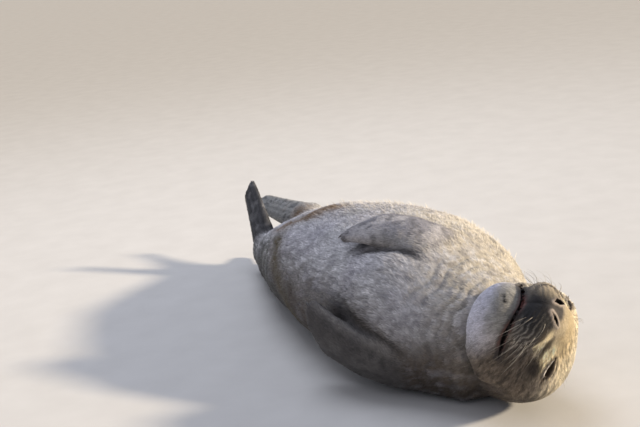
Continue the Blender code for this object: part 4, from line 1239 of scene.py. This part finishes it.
# ------------------------------------------------------------------ the skin
def flow_coordinates(p, w):
    """Distance along the lie and across it, for the hair streaks."""
    a = np.radians(turn(p))
    out = np.stack([p[:, 0], a * 0.14, np.zeros(len(p))], 1)
    q = to_head(p) - NOSE
    polar = np.stack([np.linalg.norm(q, axis=1), np.arctan2(q[:, 1], q[:, 2]) * 0.07, np.zeros(len(p))], 1)
    face = (to_head(p)[:, 0] > -0.03) & (np.linalg.norm(to_head(p), axis=1) < 0.16)
    out = np.where(face[:, None], polar, out)
    for k in ('left', 'right'):
        out = np.where((w['fore_' + k] > 0.5)[:, None], FORE[k].flat(p) * vec(1, 1, 0), out)
        out = np.where((w['hind_' + k] > 0.5)[:, None], HIND[k].flat(p) * vec(1, 1, 0), out)
    return out


CELL = 0.0056
sv, sq = surface_nets(skin, (-0.78, -0.21, -0.02), (0.44, 0.20, 0.26), CELL)
sv = onto(skin, sv, 3)
st = np.concatenate([sq[:, [0, 1, 2]], sq[:, [0, 2, 3]]])
sv, st = refine(skin, sv, st, 5)
sv = relax(skin, sv, st, 3)
sn = normals(sv, st)
sw = regions(sv)
sc = paint(sv, sw)

me = mesh_of('seal_skin', sv + SHIFT, st)
hidden = bare(sv)
paint_layer(me, 'mark', sc * np.where(hidden, 1.0, 0.86)[:, None])
vector_layer(me, 'flow', flow_coordinates(sv, sw))
skin_obj = piece('seal_skin', me, skin_material())
FLESH = ('head', 'neck', 'chest', 'abdomen', 'pelvis', 'tail', 'fore_flipper_left', 'fore_flipper_right',
         'hind_flipper_left', 'hind_flipper_right')
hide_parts(*FLESH)


# ------------------------------------------------------------------ the coat
def roots(mask, per_m2):
    """Even random places on the skin's triangles where mask is true, per_m2 of them to the square metre."""
    t = st[mask[st].mean(1) > 0.5]
    a, b, c = sv[t[:, 0]], sv[t[:, 1]], sv[t[:, 2]]
    area = np.linalg.norm(np.cross(b - a, c - a), axis=1) / 2
    dens = per_m2[t].mean(1) if np.ndim(per_m2) else per_m2
    want = area * dens
    num = rng.poisson(want)
    i = np.repeat(np.arange(len(t)), num)
    r = rng.random((len(i), 2))
    flip = r.sum(1) > 1
    r[flip] = 1 - r[flip]
    k = np.stack([1 - r.sum(1), r[:, 0], r[:, 1]], 1)[..., None]
    p = (sv[t[i]] * k).sum(1)
    n = unit((sn[t[i]] * k).sum(1))
    return p, n, {key: (w[t[i]] * k[..., 0]).sum(1) for key, w in sw.items()}


TRIS = np.array([(0, 1, 3), (0, 3, 2), (1, 4, 3), (2, 3, 5), (3, 4, 5)])
PATCH = np.array([(-0.5, -0.5), (0.5, -0.5), (-0.5, 0.1), (0, 0.1), (0.5, 0.1), (0, 0.5)]) * 0.003


def tufts(p, n, t, length, width, rise, bend):
    """Ridged, pointed locks: root pair, mid left, mid crest, mid right, tip. rise and bend are angles off the skin."""
    s = np.cross(t, n)
    L, W = length[:, None], width[:, None]
    a, b = rise[:, None], (rise + bend)[:, None]
    root = p - n * 0.0005
    mid = p + L * 0.45 * (t * np.cos(a) + n * np.sin(a))
    tip = mid + L * 0.55 * (t * np.cos(b) + n * np.sin(b))
    crest = np.cross(s, t * np.cos(a) + n * np.sin(a))
    v = np.stack([root - s * W * 0.36, root + s * W * 0.36, mid - s * W * 0.5, mid + crest * W * 0.30, mid + s * W * 0.5, tip], 1)
    v[..., 2] = np.maximum(v[..., 2], 0.0004)
    return v


def coat(name, v, colour, uv, material):
    """Joined tufts as one or more pieces under the triangle limit, each with its bake map."""
    parts = max(1, math.ceil(len(v) * 5 / 190000))
    order = np.argsort(v[:, 0, 0], kind='stable')
    for j, idx in enumerate(np.array_split(order, parts)):
        vv = v[idx].reshape(-1, 3)
        t = (np.arange(len(idx))[:, None, None] * 6 + TRIS).reshape(-1, 3)
        me = mesh_of(name, vv + SHIFT, t)
        # each tuft darker at its root as painted shade, lighter along its crest and at its tip as painted highlight
        shade = np.array([0.62, 0.62, 0.92, 1.04, 0.92, 1.18])
        c = colour[idx][:, None, :] * shade[None, :, None]
        paint_layer(me, 'mark', np.clip(c.reshape(-1, 3), 0, 1))
        u = uv[idx]
        lo, hi = u.min(0), u.max(0)
        u = 0.004 + (u - lo) / np.maximum(hi - lo, 1e-9) * 0.992
        u = u[:, None, :] + PATCH
        layer = me.uv_layers.new(name='OFBake')
        layer.uv.foreach_set('vector', u.reshape(-1, 2)[t.ravel()].astype(np.float32).ravel())
        piece(name if parts == 1 else f'{name}_{j + 1}', me, material)


def unwrap_body(p):
    """Along the trunk, and round it by equal angles."""
    return np.stack([p[:, 0], turn(p) / 360 + 0.5], 1)


def unwrap_head(p):
    """Equal-area disc round the nose."""
    q = to_head(p) - vec(-0.01, -0.01, 0)
    q = unit(q)
    rho = np.sqrt(np.clip((1 - q[:, 0]) / 2, 0, 1))
    a = np.arctan2(q[:, 1], q[:, 2])
    return np.stack([0.5 + 0.5 * rho * np.cos(a), 0.5 + 0.5 * rho * np.sin(a)], 1)


def unwrap_paw(p, w):
    """Ten flat charts: both faces of each flipper and of the tail."""
    charts = [('fore_left', FORE['left'].flat(p), FORE['left'].len, FORE_WIDTH), ('fore_right', FORE['right'].flat(p), FORE['right'].len, FORE_WIDTH),
              ('hind_left', HIND['left'].flat(p), HIND['left'].len, 0.12), ('hind_right', HIND['right'].flat(p), HIND['right'].len, 0.12)]
    along = unit(TAIL_TIP - TAIL_ROOT)
    side = unit(np.cross(along, VEN))
    r = p - TAIL_ROOT
    charts.append(('tail', np.stack([r @ along, r @ side, r @ VEN], 1), 0.09, 0.07))
    which = np.argmax(np.stack([w[c[0]] for c in charts]), 0)
    uv = np.zeros((len(p), 2))
    for i, (_, q, ln, wd) in enumerate(charts):
        m = which == i
        up = q[m, 2] > 0
        uv[m, 0] = (i + np.clip(q[m, 0] / ln * 0.80 + 0.12, 0.01, 0.98)) / 5
        uv[m, 1] = (up + np.clip(q[m, 1] / wd * 0.80 + 0.5, 0.01, 0.98)) / 2
    return uv


def grow():
    bald = bare(sv).astype(float)
    paw = sum(sw[k] for k in ('fore_left', 'fore_right', 'hind_left', 'hind_right', 'tail'))
    q = to_head(sv)
    face = step(-0.075, -0.01, q[:, 0]) * step(0.19, 0.14, np.linalg.norm(q, axis=1)) * (1 - np.clip(paw, 0, 1))
    kind = np.where(paw > 0.5, 2, np.where(face > 0.5, 1, 0))
    few = 1.0
    cm = coat_material()

    def sway(p, n, t, spread):
        s = np.cross(n, t)
        a = rng.normal(0, spread, len(p))[:, None]
        return t * np.cos(a) + s * np.sin(a)

    # the trunk's coat
    p, n, w = roots((kind == 0), 150000.0 * few)
    t = sway(p, n, lie(p, n, w), 0.17)
    fq = step(-0.17, -0.06, to_head(p)[:, 0]) * step(0.24, 0.16, np.linalg.norm(to_head(p), axis=1))
    size = (1 - 0.45 * fq) * rng.uniform(0.72, 1.25, len(p))
    under = step(0.030, 0.006, p[:, 2])
    clump = noise(p, 0.012, 71)
    rise = np.radians(9 + 8 * rng.random(len(p)) + 9 * step(0.62, 0.9, clump)) * (1 - 0.75 * under)
    v = tufts(p, n, t, 0.0098 * size, 0.00125 * size, rise, -0.55 * rise)
    c = paint(p, w) * (rng.normal(1.0, 0.13, len(p)).clip(0.6, 1.45) * (0.90 + 0.2 * clump))[:, None]
    coat('coat_body', v, c, unwrap_body(p), cm)
    count = len(p)

    # the face and head
    dens = 440000.0 * few * (0.55 + 0.45 * step(0.02, 0.07, to_head(sv)[:, 0]))
    p, n, w = roots((kind == 1), dens)
    keep = ~bare(p)
    p, n, w = p[keep], n[keep], {k: x[keep] for k, x in w.items()}
    hq = to_head(p)
    t = sway(p, n, lie(p, n, w), 0.15)
    small = 1 - 0.42 * step(0.06, 0.13, hq[:, 0])
    for eye in EYES.values():
        rad = eye.local(hq)[3]
        small = np.minimum(small, 0.45 + 0.55 * step(0.020, 0.036, rad))
    size = small * rng.uniform(0.75, 1.25, len(p))
    under = step(0.026, 0.006, p[:, 2])
    rise = np.radians(8 + 7 * rng.random(len(p))) * (1 - 0.75 * under)
    v = tufts(p, n, t, 0.0056 * size, 0.00078 * size, rise, -0.5 * rise)
    c = paint(p, w) * rng.normal(1.0, 0.12, len(p)).clip(0.6, 1.4)[:, None]
    coat('coat_head', v, c, unwrap_head(p), cm)
    count += len(p)

    # flippers and tail
    p, n, w = roots((kind == 2), 190000.0 * few)
    t = sway(p, n, lie(p, n, w), 0.13)
    size = rng.uniform(0.75, 1.25, len(p))
    rise = np.radians(6 + 6 * rng.random(len(p)))
    v = tufts(p, n, t, 0.0056 * size, 0.00085 * size, rise, -0.5 * rise)
    c = paint(p, w) * rng.normal(1.0, 0.12, len(p)).clip(0.6, 1.4)[:, None]
    coat('coat_flippers', v, c, unwrap_paw(p, w), cm)
    count += len(p)

    # loose longer hair that stands out along the far side, the shoulder and the belly's crown
    a = turn(sv)
    x = sv[:, 0]
    edge = step(35, 60, a) * step(125, 100, a) * (bump(x + 0.175, 0.095) + bump(x - 0.055, 0.085) + 0.35 * bump(x + 0.36, 0.10)) * (kind == 0)
    p, n, w = roots((edge > 0.15), 17000.0 * few * np.clip(edge, 0, 1))
    t = sway(p, n, lie(p, n, w), 0.35)
    size = rng.uniform(0.55, 1.25, len(p))
    rise = np.radians(rng.uniform(12, 46, len(p)))
    v = tufts(p, n, t, 0.0150 * size, 0.00090 * size, rise, -0.35 * rise + 0.1)
    c = mix(paint(p, w), (0.72, 0.67, 0.58), np.full(len(p), 0.55)) * rng.normal(1.0, 0.10, len(p)).clip(0.6, 1.4)[:, None]
    coat('coat_loose', v, c, unwrap_body(p), cm)
    return count + len(p)


TUFTS = grow()
print('skin triangles', len(st), 'tufts', TUFTS)


# ------------------------------------------------------------------ eyes
def eyeball(k):
    """A globe with a slightly bulging cornea, turned to its gaze."""
    eye = EYES[k]
    nu, nv = 56, 40
    th = np.linspace(0, math.pi, nv + 1)[1:-1]
    ph = np.arange(nu) * 2 * math.pi / nu
    T, P = np.meshgrid(th, ph, indexing='ij')
    r = (EYE_R - 0.0002) * (1 + 0.035 * np.exp(-(T / 0.62)**4))
    loc = np.stack([r * np.sin(T) * np.cos(P), r * np.sin(T) * np.sin(P), r * np.cos(T)], -1).reshape(-1, 3)
    loc = np.concatenate([[(0, 0, (EYE_R - 0.0002) * 1.035)], loc, [(0, 0, -EYE_R + 0.0002)]])
    tris = []
    for j in range(nu):
        j1 = (j + 1) % nu
        tris.append((0, 1 + j, 1 + j1))
        for i in range(nv - 2):
            a, b, c, d = 1 + i * nu + j, 1 + i * nu + j1, 1 + (i + 1) * nu + j1, 1 + (i + 1) * nu + j
            tris += [(a, d, c), (a, c, b)]
        tris.append((len(loc) - 1, 1 + (nv - 2) * nu + j1, 1 + (nv - 2) * nu + j))
    tris = np.array(tris)
    gaze = unit(eye.n + 0.10 * eye.t)
    side = unit(eye.t - (eye.t @ gaze) * gaze)
    up = np.cross(gaze, side)
    hv = eye.c + loc[:, :1] * side + loc[:, 1:2] * up + loc[:, 2:] * gaze
    v = HEAD_AT + hv @ HEAD_M.T
    n = normals(v, tris)
    if ((n * (v - (HEAD_AT + HEAD_M @ eye.c))).sum(1) < 0).mean() > 0.5:
        tris = tris[:, ::-1]
    me = mesh_of('eye_' + k + '_globe', v + SHIFT, tris)
    off = np.arccos(np.clip(unit(loc)[:, 2], -1, 1)) / 1.1
    ang = np.arctan2(loc[:, 1], loc[:, 0])
    vector_layer(me, 'gaze', np.stack([off, 7 * np.cos(ang), 7 * np.sin(ang)], 1))
    o = piece('eye_' + k + '_globe', me, EYE_MAT)
    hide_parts('eye_' + k)


EYE_MAT = eye_material()
for side in SIDE:
    eyeball(side)

# ------------------------------------------------------------------ claws
FORE_CLAW, FORE_CLAW_R = 0.019, 0.0028
HIND_CLAW, HIND_CLAW_R = 0.012, 0.0019


def horn(name, start, along, down, length, radius):
    """A curved claw, ridged along its back, tapering to a blunt point."""
    nr, ns = 11, 14
    side = unit(np.cross(down, along))
    thick = unit(down + along * 0.2)
    v, lay = [], []
    for i in range(nr):
        t = i / (nr - 1)
        c = start + along * (t * length) + down * (0.30 * length * t * t)
        r = radius * ((1 - 0.80 * t**1.25) * (1 + 0.20 * math.sin(math.pi * t)))
        if i == nr - 1:
            r *= 0.45
        for j in range(ns):
            a = 2 * math.pi * j / ns
            ridge = 1 + 0.10 * max(0.0, -math.sin(a))**3
            v.append(c + side * (math.cos(a) * r * 0.85) + thick * (math.sin(a) * r * ridge))
            lay.append((t, math.cos(a), math.sin(a)))
    v += [start, start + along * (length * 1.004) + down * (0.30 * length)]
    lay += [(0, 0, 0), (1, 0, 0)]
    tris = []
    for j in range(ns):
        j1 = (j + 1) % ns
        tris.append((nr * ns, j1, j))
        for i in range(nr - 1):
            a, b, c, d = i * ns + j, i * ns + j1, (i + 1) * ns + j1, (i + 1) * ns + j
            tris += [(a, b, c), (a, c, d)]
        tris.append((nr * ns + 1, (nr - 1) * ns + j, (nr - 1) * ns + j1))
    v, tris = np.array(v), np.array(tris)
    if (np.cross(v[tris[:, 0]], v[tris[:, 1]]) * v[tris[:, 2]]).sum() < 0:
        tris = tris[:, ::-1]
    v[:, 2] = np.maximum(v[:, 2], 0.0003)
    me = mesh_of(name, v + SHIFT, tris)
    vector_layer(me, 'horn', lay)
    o = piece(name + '_horn', me, CLAW_MAT)
    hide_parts(name)


CLAW_MAT = claw_material()
for k in ('left', 'right'):
    f, h = FORE[k], HIND[k]
    for i, (a, b) in enumerate(f.digits(), 1):
        out = unit(b - a)
        at = f.place(*(b + vec(0.0020, 0, 0.0030)))
        along = unit(f.place(*(b + out * 0.02 + vec(0, 0, 0.0010))) - f.place(*b))
        up = unit(f.place(*(b + vec(0, 0, 0.01))) - f.place(*b))
        down = unit(-up - (-up @ along) * along)
        horn(f'claw_fore_{k}_{i}', at, along, down, FORE_CLAW, FORE_CLAW_R)
    for i, (a, b) in enumerate(h.digits(), 1):
        out = unit(b - a)
        at = h.place(*(b - out * 0.001 + vec(0, 0, 0.0022)))
        along = unit(h.place(*(b + out * 0.02)) - h.place(*b))
        down = unit(-h.n - (-h.n @ along) * along)
        horn(f'claw_hind_{k}_{i}', at, along, down, HIND_CLAW, HIND_CLAW_R)


# ------------------------------------------------------------------ whiskers
def strand(p0, d0, pull, length, radius, joints=9, lift=0.0030):
    """A tapering hair that leaves along d0, bends toward pull and stays off the skin."""
    p, d = p0.copy(), unit(d0)
    line = [p0 - d * 0.0015]
    for i in range(joints):
        p = p + d * length / joints
        t = (i + 1) / joints
        f = float(skin(p[None])[0])
        want = lift * min(1.0, 2.5 * t)
        if f < want:
            g = unit(slope(skin, p[None]))[0]
            p = p + g * (want - f)
        p[2] = max(p[2], 0.0012)
        line.append(p)
        d = unit(d * 0.72 + unit(pull) * 0.28)
    line = np.array(line)
    ax = unit(np.gradient(line, axis=0))
    ref = vec(0.3, 0.2, 0.93)
    s = unit(np.cross(ax, ref))
    u = np.cross(s, ax)
    r = radius * (1 - 0.86 * np.linspace(0, 1, len(line)))[:, None]
    ring = [line + r * (math.cos(a) * s + math.sin(a) * u) for a in np.arange(4) * math.pi / 2]
    v = np.stack(ring, 1).reshape(-1, 3)
    tris = []
    m = len(line)
    for i in range(m - 1):
        for j in range(4):
            a, b, c, e = i * 4 + j, i * 4 + (j + 1) % 4, (i + 1) * 4 + (j + 1) % 4, (i + 1) * 4 + j
            tris += [(a, b, c), (a, c, e)]
    tris += [(0, 2, 1), (0, 3, 2), (m * 4 - 4, m * 4 - 3, m * 4 - 2), (m * 4 - 4, m * 4 - 2, m * 4 - 1)]
    tris = np.array(tris)
    if (np.cross(v[tris[:, 0]] - p0, v[tris[:, 1]] - p0) * (v[tris[:, 2]] - p0)).sum() < 0:
        tris = tris[:, ::-1]
    return v, tris


def whiskers():
    V, T, C, o = [], [], [], 0
    for s in (-1, 1):
        for row, u in enumerate((-0.016, -0.022, -0.028, -0.034, -0.040)):
            for col in range(4 if row in (0, 4) else 5):
                f0 = 0.122 - 0.0085 * col
                r0 = 0.021 + 0.0055 * col
                q = vec(f0, u + 0.0008 * math.sin(col * 3 + row), r0 * s)
                p = onto(skin, (HEAD_AT + HEAD_M @ q)[None], 6, 0.01)[0]
                out = unit(slope(skin, p[None]))[0]
                d = 0.55 * out + HEAD_M @ vec(-0.15, -0.10 - 0.05 * row, 0.55 * s)
                pull = HEAD_M @ vec(-0.95, -0.30 + 0.12 * (2 - row), 0.40 * s)
                ln = (0.030 + 0.0055 * col) * rng.uniform(0.85, 1.15)
                v, t = strand(p, d, pull, ln, 0.00027 - 0.000015 * row)
                V.append(v); T.append(t + o); o += len(v)
                C.append(np.tile((0.62, 0.56, 0.46) if (row + col) % 3 else (0.14, 0.12, 0.10), (len(v), 1)))
        for i in range(3):                                     # over the eye
            q = vec(0.062 - 0.006 * i, 0.0405, (0.036 + 0.004 * i) * s)
            p = onto(skin, (HEAD_AT + HEAD_M @ q)[None], 6, 0.01)[0]
            out = unit(slope(skin, p[None]))[0]
            v, t = strand(p, out * 0.8 + HEAD_M @ vec(-0.3, 0.3, 0.1 * s), HEAD_M @ vec(-0.9, 0.4, 0.2 * s), 0.020, 0.00026)
            V.append(v); T.append(t + o); o += len(v)
            C.append(np.tile((0.20, 0.17, 0.13), (len(v), 1)))
    me = mesh_of('whiskers', np.concatenate(V) + SHIFT, np.concatenate(T))
    paint_layer(me, 'mark', np.concatenate(C))
    piece('whiskers', me, whisker_material())


whiskers()

# ------------------------------------------------------------------ floor, light, camera
FLOOR = 150.0                       # half size: it runs past the camera's horizon


def pale_floor():
    me = mesh_of('floor', np.array([(-FLOOR, -FLOOR, 0), (FLOOR, -FLOOR, 0), (FLOOR, FLOOR, 0), (-FLOOR, FLOOR, 0)], float), np.array([(0, 1, 2), (0, 2, 3)]), False)
    o = bpy.data.objects.new('floor', me)
    bpy.context.scene.collection.objects.link(o)
    m, nt, b = mat('floor_pale', 0.85, 0.2)
    here = node(nt, 'ShaderNodeTexCoord')
    n = node(nt, 'ShaderNodeTexNoise', Scale=14.0, Detail=4.0)
    nt.links.new(here.outputs['Object'], n.inputs['Vector'])
    nt.links.new(ramp(nt, n.outputs['Fac'], ((0.3, (0.66, 0.645, 0.62)), (0.7, (0.70, 0.685, 0.66)))), b.inputs['Base Color'])
    me.materials.append(m)


def lamp(name, toward, distance, size, power, colour, at=(0.0, 0.0, 0.10)):
    d = unit(vec(*toward))
    li = bpy.data.lights.new(name, 'AREA')
    li.shape, li.size, li.energy, li.color = 'DISK', size, power, colour
    o = bpy.data.objects.new(name, li)
    o.location = Vector(vec(*at) + d * distance)
    o.rotation_mode = 'QUATERNION'
    o.rotation_quaternion = Vector(d).to_track_quat('Z', 'Y')
    bpy.context.scene.collection.objects.link(o)


def low_sun(toward, strength, spread, colour):
    li = bpy.data.lights.new('key', 'SUN')
    li.energy, li.angle, li.color = strength, math.radians(spread), colour
    o = bpy.data.objects.new('key', li)
    o.rotation_mode = 'QUATERNION'
    o.rotation_quaternion = Vector(unit(vec(*toward))).to_track_quat('Z', 'Y')
    bpy.context.scene.collection.objects.link(o)


def studio():
    w = bpy.data.worlds.new('studio')
    bpy.context.scene.world = w
    w.use_nodes = True
    bg = w.node_tree.nodes['Background']
    bg.inputs['Color'].default_value = (0.82, 0.86, 1.0, 1)
    bg.inputs['Strength'].default_value = 0.33
    low_sun((0.56, 0.74, 0.35), 5.2, 5.0, (1.0, 0.85, 0.64))
    lamp('fill', (0.30, -0.75, 0.95), 2.8, 2.4, 5, (0.86, 0.88, 1.0))
    lamp('top', (-0.35, 0.05, 1.0), 2.6, 2.0, 30, (0.84, 0.88, 1.0))
    bpy.context.scene.view_settings.view_transform = 'Standard'


CAM_AT = vec(1.5769487, -0.7900158, 0.6985585)
CAM_F, CAM_U = vec(-0.8948800, 0.3691456, -0.2508414), vec(-0.1863453, 0.2016646, 0.9615648)


def camera():
    c = bpy.data.cameras.new('camera')
    c.sensor_width, c.lens = 36.0, 1154.66 * 36.0 / 640.0
    c.clip_start, c.clip_end = 0.05, 500.0
    o = bpy.data.objects.new('camera', c)
    r = np.cross(CAM_F, CAM_U)
    m = Matrix([[float(r[i]), float(CAM_U[i]), float(-CAM_F[i]), float(CAM_AT[i] + SHIFT[i])] for i in range(3)] + [[0, 0, 0, 1]])
    o.matrix_world = m
    bpy.context.scene.collection.objects.link(o)
    bpy.context.scene.camera = o


pale_floor()
studio()
camera()
